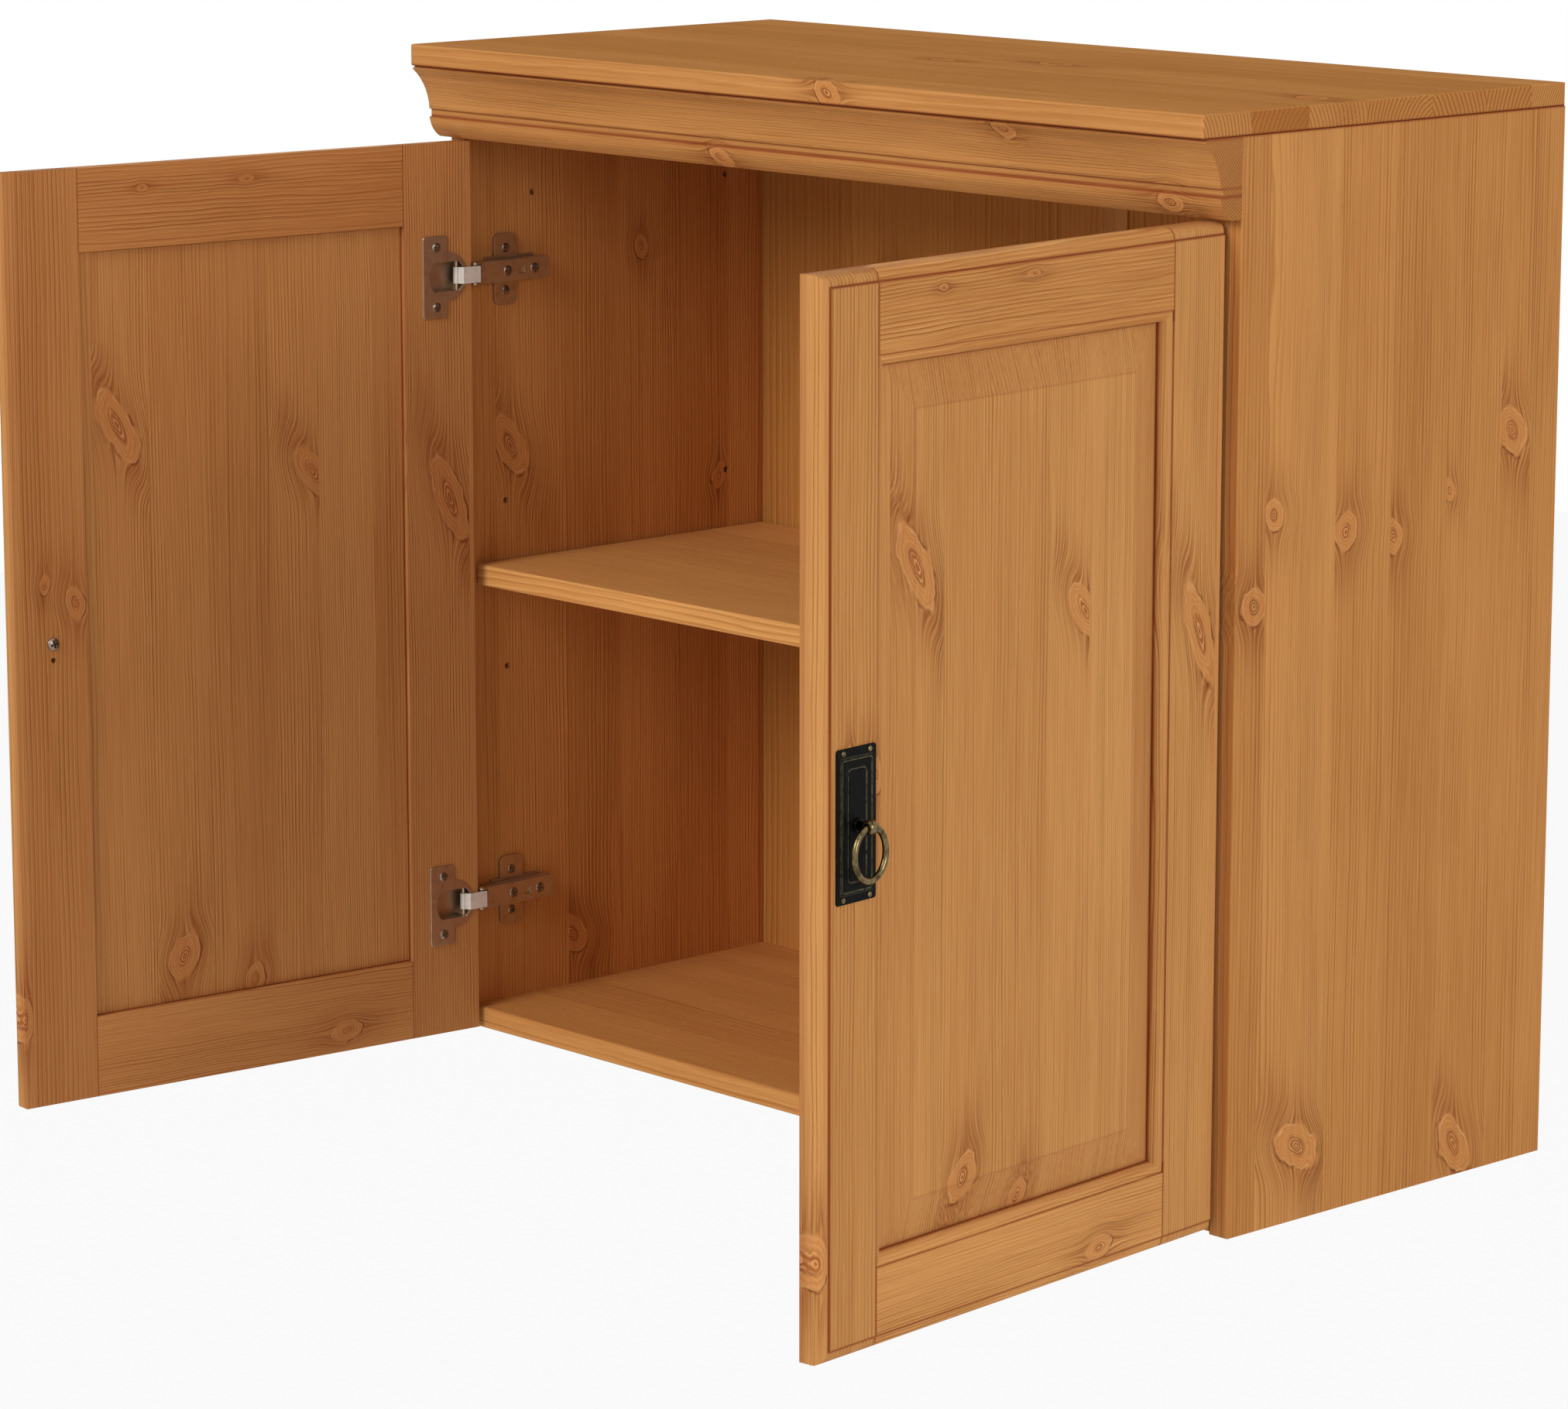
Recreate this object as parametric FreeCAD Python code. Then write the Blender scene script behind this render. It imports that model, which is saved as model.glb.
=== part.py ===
import FreeCAD, Part
import math
import os

# Two-door wall cabinet in stained solid pine, with a moulded cornice, one shelf, frame and
# raised-panel doors on concealed cup hinges, and ring pulls. Millimetres, +Z up, +Y into the wall.
# The origin is the middle of the two wall-fixing holes, on the back face of the hanging rail.
# The doors stand open.

V = FreeCAD.Vector

# Cabinet body
cabinet_width = 800.0
side_height = 740.0
side_depth = 326.0
board = 16.0
eased_edge = 1.5
top_overhang = 38.0
bottom_recess = 2.0
rail_height = 60.0
rail_thickness = 18.0
back_thickness = 4.0
back_groove_depth = 6.0
back_play = 0.5
strip_width = 23.0
strip_web = 1.5
strip_proud = 2.0
wall_hole_spacing = 600.0
wall_hole_radius = 4.0

# Cornice profile, measured forward of the side panels and down from the top board
cornice_height = 54.0
cornice_tip = 36.0
cornice_tip_drop = 2.5
cove_depth = 20.3
cove_mid_depth = 24.6
cove_mid_drop = 16.6
cove_drop = 33.0
fillet_depth = 18.4
fillet_drop = 38.8
bead_mid_depth = 16.4
bead_mid_drop = 48.8
bead_foot_depth = 10.5

# Shelf on pins, and the drilled rows in the sides
shelf_end_gap = 2.0
shelf_setback = 6.5
shelf_back_gap = 2.0
pin_radius = 2.5
pin_reach = 8.0
pin_hole_depth = 10.0
front_row = 37.0
back_row = 264.0
pin_height = 343.0
pin_step = 64.0
spare_hole_height = 640.0
spare_hole_row = 66.0

# Wooden dowels and back-panel nails
dowel_radius = 4.0
dowel_into_panel = 20.0
dowel_into_side = 10.0
dowel_margin = 50.0
nail_radius = 0.8
nail_length = 16.0
nail_head_radius = 1.8
nail_head = 0.6
nail_count = 6

# Doors
door_gap = 3.0
door_inset = 1.0
door_back_gap = 2.5
door_bottom = 4.0
door_top_gap = 2.0
door_thickness = 18.0
frame_width = 60.0
edge_rebate = 8.0
edge_round = 6.5
quirk = 0.9
sticking = 7.5
sticking_round = 6.0
panel_recess = 4.0
panel_tongue = 5.5
panel_tongue_reach = 8.0
groove_reach = 9.0
panel_play = 0.25
panel_bevel = 29.0
panel_rise = 7.0
tenon_length = 12.0
tenon_shoulder = 8.0

# Concealed hinges
open_angle = 95.5
open_corner_in = 28.8
open_corner_out = 5.6
hinge_from_door_end = 100.0
cup_centre = 22.5
cup_radius = 17.4
cup_wall = 1.6
cup_depth = 11.6
cup_floor = 0.9
cup_rim_radius = 18.6
cup_rim = 0.6
cup_mouth = 22.0
cup_plate = 1.2
cup_plate_from = 22.0
cup_plate_to = 44.0
cup_plate_height = 62.0
cup_screw_row = 32.0
cup_screw_spacing = 45.0
pivot_in_door = 11.0
pivot_depth = 3.5
pivot_offset = 14.0
link_thickness = 1.5
link_height = 12.4
link_eye = 2.4
link_rim_gap = 0.5
link_edge_gap = 6.0
hinge_pin_radius = 1.2
hinge_pin_play = 0.08
arm_height = 16.4
arm_sheet = 1.3
arm_ear_radius = 3.3
arm_rise = 13.0
arm_web_start = 4.4
arm_end = 71.0
link_side_play = 0.25
arm_pin_proud = 0.5
mount_base = 2.4
mount_wing_width = 22.0
mount_wing_height = 54.0
mount_rib_from = 22.0
mount_strip_from = 17.0
mount_strip_to = 63.6
mount_strip_height = 20.6
mount_screw_spacing = 32.0
arm_adjust_screw = 30.3
arm_square_hole = 43.5
arm_square = 6.0
arm_fixing_screw = 56.8
arm_adjust_head_radius = 2.9
arm_fixing_head_radius = 4.0
screw_shank_radius = 1.75
screw_head_radius = 3.6
screw_head = 1.0
screw_length = 12.0
screw_slot = 0.9
screw_slot_depth = 0.7

# Ring pull handles
handle_from_edge = 31.2
plate_width = 37.0
plate_height = 97.5
plate_thickness = 1.2
plate_corner = 2.0
tier_side_inset = 3.3
tier_end_inset = 5.8
tier_rise = 0.8
tier_line_inset = 1.6
inner_line_side_inset = 6.7
inner_line_end_inset = 7.4
plate_line_width = 0.9
plate_line_depth = 0.4
rivet_side_inset = 6.0
rivet_end_inset = 3.0
rivet_head_radius = 1.9
rivet_head = 0.9
rivet_shank_radius = 0.8
rivet_length = 9.0
rosette_radius = 4.6
rosette_height = 1.8
post_radius = 2.7
post_shank_radius = 3.5
post_shank_reach = 10.0
ring_standoff = 12.2
eye_radius = 4.6
eye_length = 7.0
eye_ball = 5.2
eye_play = 0.55
ring_width = 33.5
ring_height = 38.0
ring_wire = 4.2
back_screw_radius = 2.0
back_screw_head_radius = 4.7
back_screw_head = 2.4
peg_hole_radius = 2.0
peg_hole_drop = 12.0
peg_hole_depth = 9.0

# Places that follow from the sizes above
half_width = cabinet_width / 2
inner_width = cabinet_width - 2 * board
front = -side_depth
side_top = rail_height / 2
side_bottom = side_top - side_height
back_face = -rail_thickness - back_thickness
shelf_bottom = side_bottom + pin_height + pin_radius
bottom_low = side_bottom + bottom_recess
door_width = (cabinet_width - door_gap) / 2 - door_inset
door_low = side_bottom + door_bottom
door_height = side_height - cornice_height - door_top_gap - door_bottom
hinge_heights = {"upper": door_height - hinge_from_door_end, "lower": hinge_from_door_end}
handle_u = door_width - handle_from_edge
handle_w = door_height / 2
arm_top = board + arm_rise
cavity_radius = cup_radius - cup_wall


def box(low, high):
    """A box between two corners."""
    size = [b - a for a, b in zip(low, high)]
    return Part.makeBox(size[0], size[1], size[2], V(*low))


def rod(start, direction, length, radius):
    """A round bar from a point along a direction."""
    return Part.makeCylinder(radius, length, V(*start), V(*direction))


def prism(points, low, height):
    """An upright prism over a plan outline."""
    outline = Part.makePolygon([V(x, y, low) for x, y in points + points[:1]])
    return Part.Face(outline).extrude(V(0, 0, height))


def joined(shapes):
    """Shapes fused to one solid."""
    return shapes[0].multiFuse(shapes[1:]).removeSplitter()


def eased(solid, radius, wanted):
    """The solid with the edges that the test picks rounded."""
    edges = [e for e in solid.Edges if wanted(e)]
    return solid.makeFillet(radius, edges)


def middle(edge):
    """The middle point of an edge."""
    return edge.valueAt((edge.FirstParameter + edge.LastParameter) / 2)


def along(edge, axis):
    """Whether a straight edge runs along an axis."""
    way = edge.tangentAt(edge.FirstParameter)
    return abs(abs(way.dot(axis)) - 1) < 1e-6


def mirrored(shape):
    """The right-hand copy of a left-hand shape."""
    return shape.mirror(V(0, 0, 0), V(1, 0, 0))


def hinge_plan(shape):
    """From the left side panel's outer front bottom corner to the cabinet's frame."""
    moved = shape.copy()
    moved.translate(V(-half_width, front, 0))
    return moved


def door_place(shape):
    """From the left door's inner hinge corner at its foot to the open door's place."""
    placed = shape.copy()
    placed.rotate(V(0, 0, 0), V(0, 0, 1), -open_angle)
    placed.translate(V(-half_width + open_corner_in, front - open_corner_out, door_low))
    return placed


def pivot_points():
    """Arm pin and open cup pin in plan, and how far the link turns as the door opens."""
    turn = math.radians(open_angle)
    run = V(math.cos(turn), -math.sin(turn), 0)
    outward = V(-math.sin(turn), -math.cos(turn), 0)
    closed = V(door_inset + pivot_in_door, -door_back_gap - pivot_depth, 0)
    opened = V(open_corner_in, -open_corner_out, 0) + run * pivot_in_door + outward * pivot_depth
    chord = opened - closed
    square = V(-chord.y, chord.x, 0).normalize()
    arm_pin = (opened + closed) * 0.5 + square * pivot_offset
    swing = 2 * math.degrees(math.atan2(chord.Length / 2, pivot_offset))
    return arm_pin, opened, swing


def side_panel():
    """Left side board with its back groove, shelf-pin rows and screw pilots."""
    panel = box((-half_width, front, side_bottom), (-half_width + board, 0, side_top))
    panel = eased(panel, eased_edge, lambda e: middle(e).y < front + 1 and middle(e).z < side_top - 1)
    inner = -half_width + board
    groove = box((inner - back_groove_depth, back_face, side_bottom),
                 (inner, back_face + back_thickness, side_top))
    panel = panel.cut(groove)
    spots = [(row, pin_height + k * pin_step) for row in (front_row, back_row) for k in (-1, 0, 1)]
    spots += [(spare_hole_row, spare_hole_height), (back_row, spare_hole_height)]
    for row, height in spots:
        hole = rod((inner, front + row, side_bottom + height), (-1, 0, 0), pin_hole_depth, pin_radius)
        panel = panel.cut(hole)
    for height in hinge_heights.values():
        for sign in (-1, 1):
            z = door_low + height + sign * mount_screw_spacing / 2
            panel = panel.cut(rod((inner, front + front_row, z), (-1, 0, 0),
                                  screw_length - mount_base, screw_shank_radius))
    return panel


def carcass_dowels():
    """Dowels of the left half: bottom panel and rail into the side, top board and cornice onto it."""
    inner = -half_width + board
    mid_board = -half_width + board / 2
    dowels = []
    for y in (front + dowel_margin, front / 2, back_face - dowel_margin):
        dowels.append(rod((inner - dowel_into_side, y, bottom_low + board / 2), (1, 0, 0),
                          dowel_into_side + dowel_into_panel, dowel_radius))
        dowels.append(rod((mid_board, y, side_top - dowel_into_panel), (0, 0, 1),
                          dowel_into_panel + dowel_into_side, dowel_radius))
    dowels.append(rod((inner - dowel_into_side, -rail_thickness / 2, 0), (1, 0, 0),
                      dowel_into_side + dowel_into_panel, dowel_radius))
    dowels.append(rod((mid_board, front + dowel_into_panel, side_top - cornice_height / 3), (0, -1, 0),
                      dowel_into_panel + dowel_into_side, dowel_radius))
    return dowels


def top_board():
    """Top board with eased edges, flush with the sides and overhanging in front."""
    slab = box((-half_width, front - top_overhang, side_top), (half_width, 0, side_top + board))
    return eased(slab, eased_edge, lambda e: middle(e).y < -1 or along(e, V(0, 0, 1)))


def cornice():
    """Moulding under the top board: cove, sunk fillet and bead, in front of the side panels."""
    def at(depth, drop):
        return V(-half_width, front - depth, side_top - drop)
    corners = [at(0, 0), at(cornice_tip - cornice_tip_drop, 0), at(cornice_tip, cornice_tip_drop)]
    cove = Part.Arc(corners[2], at(cove_mid_depth, cove_mid_drop), at(cove_depth, cove_drop)).toShape()
    bead_top = at(cove_depth, fillet_drop)
    bead_foot = at(bead_foot_depth, cornice_height)
    bead = Part.Arc(bead_top, at(bead_mid_depth, bead_mid_drop), bead_foot).toShape()
    sunk = [at(cove_depth, cove_drop), at(fillet_depth, cove_drop), at(fillet_depth, fillet_drop), bead_top]
    edges = Part.makePolygon(corners).Edges + [cove] + Part.makePolygon(sunk).Edges + [bead]
    edges += Part.makePolygon([bead_foot, at(0, cornice_height), at(0, 0)]).Edges
    profile = Part.Face(Part.Wire(Part.__sortEdges__(edges)))
    return profile.extrude(V(cabinet_width, 0, 0))


def bottom_panel():
    """Bottom board between the sides, in front of the back panel."""
    slab = box((-half_width + board, front, bottom_low), (half_width - board, back_face, bottom_low + board))
    return eased(slab, eased_edge, lambda e: along(e, V(1, 0, 0)) and middle(e).y < front + 1)


def shelf():
    """Loose shelf resting on its pins."""
    reach = inner_width / 2 - shelf_end_gap
    slab = box((-reach, front + shelf_setback, shelf_bottom),
               (reach, back_face - strip_proud - shelf_back_gap, shelf_bottom + board))
    return eased(slab, eased_edge, lambda e: along(e, V(1, 0, 0)) and middle(e).y < front + shelf_setback + 1)


def shelf_pins():
    """Four round shelf pins in the drilled rows."""
    inner = -half_width + board
    z = side_bottom + pin_height
    left = [rod((inner - pin_hole_depth, front + row, z), (1, 0, 0), pin_hole_depth + pin_reach, pin_radius)
            for row in (front_row, back_row)]
    return left + [mirrored(p) for p in left]


def wall_holes(length, start):
    """Round cutters through the two wall-fixing places."""
    places = (-wall_hole_spacing / 2, wall_hole_spacing / 2)
    return [rod((x, start, 0), (0, 1, 0), length, wall_hole_radius) for x in places]


def hanging_rail():
    """Rail behind the back panel that carries the cabinet on the wall."""
    rail = box((-half_width + board, -rail_thickness, -rail_height / 2),
               (half_width - board, 0, rail_height / 2))
    for hole in wall_holes(rail_thickness, -rail_thickness):
        rail = rail.cut(hole)
    return rail


def back_panel():
    """Left half of the back panel, in the side groove and the joint strip."""
    edge = -half_width + board - back_groove_depth + back_play
    sheet = box((edge, back_face, bottom_low), (-strip_web / 2, back_face + back_thickness, side_top))
    for hole in wall_holes(back_thickness, back_face):
        sheet = sheet.cut(hole)
    return sheet


def back_joint_strip():
    """H-section strip that joins the two back halves, standing on the bottom board."""
    half = strip_width / 2
    low = bottom_low + board
    face = box((-half, back_face - strip_proud, low), (half, back_face, side_top))
    web = box((-strip_web / 2, back_face, low), (strip_web / 2, back_face + back_thickness, side_top))
    return joined([face, web])


def back_nails():
    """Nails through the back panel into the bottom board's rear edge."""
    span = inner_width - 2 * dowel_margin
    nails = []
    for k in range(nail_count):
        x = -span / 2 + span * k / (nail_count - 1)
        z = bottom_low + board / 2
        head = rod((x, back_face + back_thickness, z), (0, 1, 0), nail_head, nail_head_radius)
        shank = rod((x, back_face + back_thickness, z), (0, -1, 0), nail_length, nail_radius)
        nails.append(joined([head, shank]))
    return nails


def cross_screw(head_radius, shank_radius, length, head):
    """Pan-head screw along +Z with its head from 0 to head height and a cross recess."""
    shank = rod((0, 0, 0), (0, 0, -1), length, shank_radius)
    body = joined([rod((0, 0, 0), (0, 0, 1), head, head_radius), shank])
    body = eased(body, head * 0.45, lambda e: abs(middle(e).z - head) < 1e-6)
    for size in ((head_radius * 0.6, screw_slot / 2), (screw_slot / 2, head_radius * 0.6)):
        body = body.cut(box((-size[0], -size[1], head - screw_slot_depth), (size[0], size[1], head + 1)))
    return body


def turned_screw(screw, place, toward):
    """A screw moved to a place, its head facing a direction."""
    moved = screw.copy()
    moved.Placement = FreeCAD.Placement(V(*place), FreeCAD.Rotation(V(0, 0, 1), V(*toward)))
    return moved


def door_frame():
    """The whole door frame before it is parted into stiles and rails, in the door's own frame."""
    w, t, h = door_width, door_thickness, door_height
    blank = box((0, -t, 0), (w, 0, h))
    rebate = box((-1, -t - 1, -1), (w + 1, -t + quirk, h + 1))
    rebate = rebate.cut(box((-2, -t - 2, edge_rebate), (w - edge_rebate, 0, h - edge_rebate)))
    blank = blank.cut(rebate)
    face = -t + quirk

    def outer(e):
        m = middle(e)
        on_edge = m.x > w - 1e-3 or m.z < 1e-3 or m.z > h - 1e-3
        return abs(m.y - face) < 1e-3 and on_edge and not along(e, V(0, 1, 0))
    blank = eased(blank, edge_round, outer)
    inside = frame_width - sticking
    blank = blank.cut(box((inside, -t - 1, inside), (w - inside, face, h - inside)))
    opening = box((frame_width, -t - 1, frame_width), (w - frame_width, 1, h - frame_width))
    blank = blank.cut(opening)

    def inner(e):
        m = middle(e)
        clear = frame_width - 1e-3
        within = clear < m.x < w - clear and clear < m.z < h - clear
        return abs(m.y - face) < 1e-3 and within
    blank = eased(blank, sticking_round, inner)
    groove_low = frame_width - groove_reach
    groove = box((groove_low, -panel_recess - panel_tongue, groove_low),
                 (w - groove_low, -panel_recess, h - groove_low))
    return blank.cut(groove)


def stile_zone(mirror):
    """One stile's share of the frame: mitred through the sticking, with a square shoulder at the back."""
    joint = frame_width - sticking
    pts = [(-1, -1), (joint, -1), (joint, joint), (frame_width, frame_width),
           (frame_width, door_height - frame_width), (joint, door_height - joint),
           (joint, door_height + 1), (-1, door_height + 1)]
    edges = (-1, frame_width)
    if mirror:
        pts = [(door_width - u, z) for u, z in pts]
        edges = (door_width - frame_width, door_width + 1)
    outline = Part.makePolygon([V(u, -panel_recess, z) for u, z in pts + pts[:1]])
    facing = Part.Face(outline).extrude(V(0, panel_recess - door_thickness - 1, 0))
    shoulder = box((edges[0], -panel_recess, -1), (edges[1], 1, door_height + 1))
    return joined([facing, shoulder])


def rail_tenon(at_hinge, at_top):
    """Stub tenon of a rail end, as thick as the panel groove."""
    joint = frame_width - sticking
    u = (joint - tenon_length, joint) if at_hinge else (door_width - joint, door_width - joint + tenon_length)
    z = (tenon_shoulder, frame_width - groove_reach)
    if at_top:
        z = (door_height - z[1], door_height - z[0])
    return box((u[0], -panel_recess - panel_tongue, z[0]), (u[1], -panel_recess, z[1]))


def raised_panel():
    """Door panel: a tongue all round, a bevel and a flat field."""
    low = frame_width - panel_tongue_reach
    back = -panel_recess - panel_play
    front_of_tongue = -panel_recess - panel_tongue + panel_play
    tongue = box((low, front_of_tongue, low), (door_width - low, back, door_height - low))
    start = frame_width + panel_play
    field = start + panel_bevel

    def ring(inset, y):
        u1, z1 = door_width - inset, door_height - inset
        corners = [V(inset, y, inset), V(u1, y, inset), V(u1, y, z1), V(inset, y, z1)]
        return Part.makePolygon(corners + corners[:1])
    face = front_of_tongue - panel_rise
    raised = Part.makeLoft([ring(start, front_of_tongue), ring(field, face)], True, True)
    return joined([tongue, raised])


def door_pieces():
    """Stiles, rails and panel of one door, bored for its hinges and handle."""
    frame = door_frame()
    hinge_stile = frame.common(stile_zone(False))
    free_stile = frame.common(stile_zone(True))
    rails = frame.cut(stile_zone(False)).cut(stile_zone(True))
    solids = sorted(rails.Solids, key=lambda s: s.CenterOfMass.z)
    pieces = {"hinge_stile": hinge_stile, "free_stile": free_stile}
    for name, solid, at_top in (("bottom_rail", solids[0], False), ("top_rail", solids[1], True)):
        tenons = [rail_tenon(True, at_top), rail_tenon(False, at_top)]
        pieces[name] = joined([solid] + tenons)
        pieces["hinge_stile"] = pieces["hinge_stile"].cut(tenons[0])
        pieces["free_stile"] = pieces["free_stile"].cut(tenons[1])
    for w in hinge_heights.values():
        bore = rod((cup_centre, 0, w), (0, -1, 0), cup_depth, cup_radius)
        pieces["hinge_stile"] = pieces["hinge_stile"].cut(bore)
        for sign in (-1, 1):
            pilot = rod((cup_screw_row, 0, w + sign * cup_screw_spacing / 2), (0, -1, 0),
                        screw_length - cup_plate, screw_shank_radius)
            pieces["hinge_stile"] = pieces["hinge_stile"].cut(pilot)
    stile = pieces["free_stile"]
    through = rod((handle_u, 0, handle_w), (0, -1, 0), door_thickness, back_screw_radius)
    shank = rod((handle_u, -door_thickness, handle_w), (0, 1, 0), post_shank_reach, post_shank_radius)
    peg = rod((handle_u, 0, handle_w - peg_hole_drop), (0, -1, 0), peg_hole_depth, peg_hole_radius)
    stile = stile.cut(through).cut(shank).cut(peg)
    for rivet in handle_rivets():
        stile = stile.cut(rivet)
    pieces["free_stile"] = stile
    pieces["panel"] = raised_panel()
    return pieces


def hinge_cup(w):
    """Pressed cup with its round rim, screw plate and oblong mouth, in the door's own frame."""
    wall = rod((cup_centre, 0, w), (0, -1, 0), cup_depth, cup_radius)
    rim = rod((cup_centre, 0, w), (0, 1, 0), cup_rim, cup_rim_radius)
    half = cup_plate_height / 2
    plate = box((cup_plate_from, 0, w - half), (cup_plate_to, cup_plate, w + half))
    plate = eased(plate, 2.5, lambda e: along(e, V(0, 1, 0)))
    plate = eased(plate, cup_plate * 0.4, lambda e: abs(middle(e).y - cup_plate) < 1e-6)
    cup = joined([wall, rim, plate])
    above = cup_plate + 1
    mouth = rod((cup_centre, above, w), (0, -1, 0), cup_depth - cup_floor + above, cavity_radius)
    low = w - cup_mouth / 2
    mouth = mouth.common(box((0, -cup_depth, low), (cup_plate_to, above, low + cup_mouth)))
    cup = cup.cut(mouth).cut(cup_pin(w))
    for sign in (-1, 1):
        place = (cup_screw_row, -1, w + sign * cup_screw_spacing / 2)
        cup = cup.cut(rod(place, (0, 1, 0), above + 1, screw_shank_radius))
    return cup


def cup_pin(w):
    """Pivot pin across the cup, held in the walls of its mouth."""
    reach = math.sqrt(cup_radius ** 2 - (cup_centre - pivot_in_door + hinge_pin_radius) ** 2) - cup_wall / 2
    return rod((pivot_in_door, -pivot_depth, w - reach), (0, 0, 1), 2 * reach, hinge_pin_radius)


def hinge_link(z):
    """Cranked link from the arm pin, over the cup's rim, down to the cup pin, with the door open."""
    arm_pin, cup_pin_place, swing = pivot_points()
    turn = math.radians(open_angle)
    corner = V(open_corner_in, -open_corner_out, 0)
    run = V(math.cos(turn), -math.sin(turn), 0)
    outward = V(-math.sin(turn), -math.cos(turn), 0)
    over = -(cup_rim + link_rim_gap + link_thickness / 2)
    knee = corner + run * -(link_edge_gap + link_thickness / 2) + outward * over
    dip = corner + run * (cup_centre - cavity_radius + link_thickness) + outward * over
    low = z - link_height / 2
    pieces = []
    stops = [arm_pin, knee, dip, cup_pin_place]
    for a, b in zip(stops, stops[1:]):
        way = (b - a).normalize()
        side = V(-way.y, way.x, 0) * (link_thickness / 2)
        pieces.append(prism([(p.x, p.y) for p in (a + side, b + side, b - side, a - side)], low, link_height))
    for knuckle in (knee, dip):
        pieces.append(rod((knuckle.x, knuckle.y, low), (0, 0, 1), link_height, link_thickness / 2))
    for pin in (arm_pin, cup_pin_place):
        pieces.append(rod((pin.x, pin.y, low), (0, 0, 1), link_height, link_eye))
    link = joined(pieces)
    bore = hinge_pin_radius + hinge_pin_play
    for pin in (arm_pin, cup_pin_place):
        link = link.cut(rod((pin.x, pin.y, low - 1), (0, 0, 1), link_height + 2, bore))
    return link


def hinge_arm(z):
    """U-shaped arm: a web, two flanges and two ears that hold the arm pin."""
    pin, cup_place, swing = pivot_points()
    half = arm_height / 2
    web = box((arm_top - arm_sheet, arm_web_start, z - half), (arm_top, arm_end, z + half))
    parts = [web]
    for sign in (-1, 1):
        low = min(z + sign * half, z + sign * (half - arm_sheet))
        foot = board + mount_base + link_side_play
        parts.append(box((foot, arm_web_start, low), (arm_top, arm_end, low + arm_sheet)))
        parts.append(rod((pin.x, pin.y, low), (0, 0, 1), arm_sheet, arm_ear_radius))
        ear = [(pin.x - arm_ear_radius, pin.y), (pin.x + arm_ear_radius, pin.y),
               (arm_top, arm_web_start), (foot, arm_web_start)]
        parts.append(prism(ear, low, arm_sheet))
    arm = joined(parts)
    arm = arm.cut(rod((pin.x, pin.y, z - half - 1), (0, 0, 1), arm_height + 2, hinge_pin_radius))
    square = arm_square / 2
    arm = arm.cut(box((arm_top - arm_sheet - 1, arm_square_hole - square, z - square),
                      (arm_top + 1, arm_square_hole + square, z + square)))
    for y in (arm_adjust_screw, arm_fixing_screw):
        arm = arm.cut(rod((arm_top - arm_sheet - 1, y, z), (1, 0, 0), arm_sheet + 2, screw_shank_radius))
    return arm


def hinge_mount(z):
    """Cross-shaped mounting plate with the rib that the arm sits on."""
    wing = mount_wing_width / 2
    tall = mount_wing_height / 2
    base = board + mount_base
    plate = box((board, front_row - wing, z - tall), (base, front_row + wing, z + tall))
    plate = eased(plate, 5.0, lambda e: along(e, V(1, 0, 0)))
    inside = arm_height / 2 - arm_sheet - link_side_play
    rib = box((board, mount_rib_from, z - inside), (arm_top - arm_sheet, arm_end, z + inside))
    low = z - mount_strip_height / 2
    strip = box((board, mount_strip_from, low), (base, mount_strip_to, low + mount_strip_height))
    mount = joined([plate, strip, rib])
    for sign in (-1, 1):
        mount = mount.cut(rod((board - 1, front_row, z + sign * mount_screw_spacing / 2), (1, 0, 0),
                              mount_base + 2, screw_shank_radius))
    for y in (arm_adjust_screw, arm_fixing_screw):
        mount = mount.cut(rod((arm_top - arm_sheet - screw_length + arm_sheet, y, z), (1, 0, 0), screw_length,
                              screw_shank_radius))
    return mount


def plate_block(side_inset, end_inset, face, back):
    """A block over the handle plate's outline drawn in by two insets."""
    half_w = plate_width / 2 - side_inset
    half_h = plate_height / 2 - end_inset
    return box((handle_u - half_w, face, handle_w - half_h), (handle_u + half_w, back, handle_w + half_h))


def sunk_line(side_inset, end_inset, face):
    """Cutter for one engraved frame on the handle plate."""
    line = plate_block(side_inset, end_inset, face - 1, face + plate_line_depth)
    core = plate_block(side_inset + plate_line_width, end_inset + plate_line_width, face - 2, face + 2)
    return line.cut(core)


def handle_plate():
    """Back plate with a raised tier and engraved frames, in the door's own frame."""
    base_face = -door_thickness - plate_thickness
    tier_face = base_face - tier_rise
    plate = plate_block(0, 0, base_face, -door_thickness)
    plate = eased(plate, plate_corner, lambda e: along(e, V(0, 1, 0)))
    plate = eased(plate, plate_thickness * 0.4, lambda e: abs(middle(e).y - base_face) < 1e-6)
    tier = plate_block(tier_side_inset, tier_end_inset, tier_face, base_face)
    tier = eased(tier, plate_corner, lambda e: along(e, V(0, 1, 0)))
    tier = eased(tier, tier_rise * 0.6, lambda e: abs(middle(e).y - tier_face) < 1e-6)
    plate = joined([plate, tier])
    line_insets = [(tier_line_inset, tier_line_inset), (inner_line_side_inset, inner_line_end_inset)]
    for side_inset, end_inset in line_insets:
        plate = plate.cut(sunk_line(tier_side_inset + side_inset, tier_end_inset + end_inset, tier_face))
    plate = plate.cut(rod((handle_u, 0, handle_w), (0, -1, 0), 1 - tier_face, post_shank_radius))
    for rivet in handle_rivets():
        plate = plate.cut(rivet)
    return plate


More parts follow.
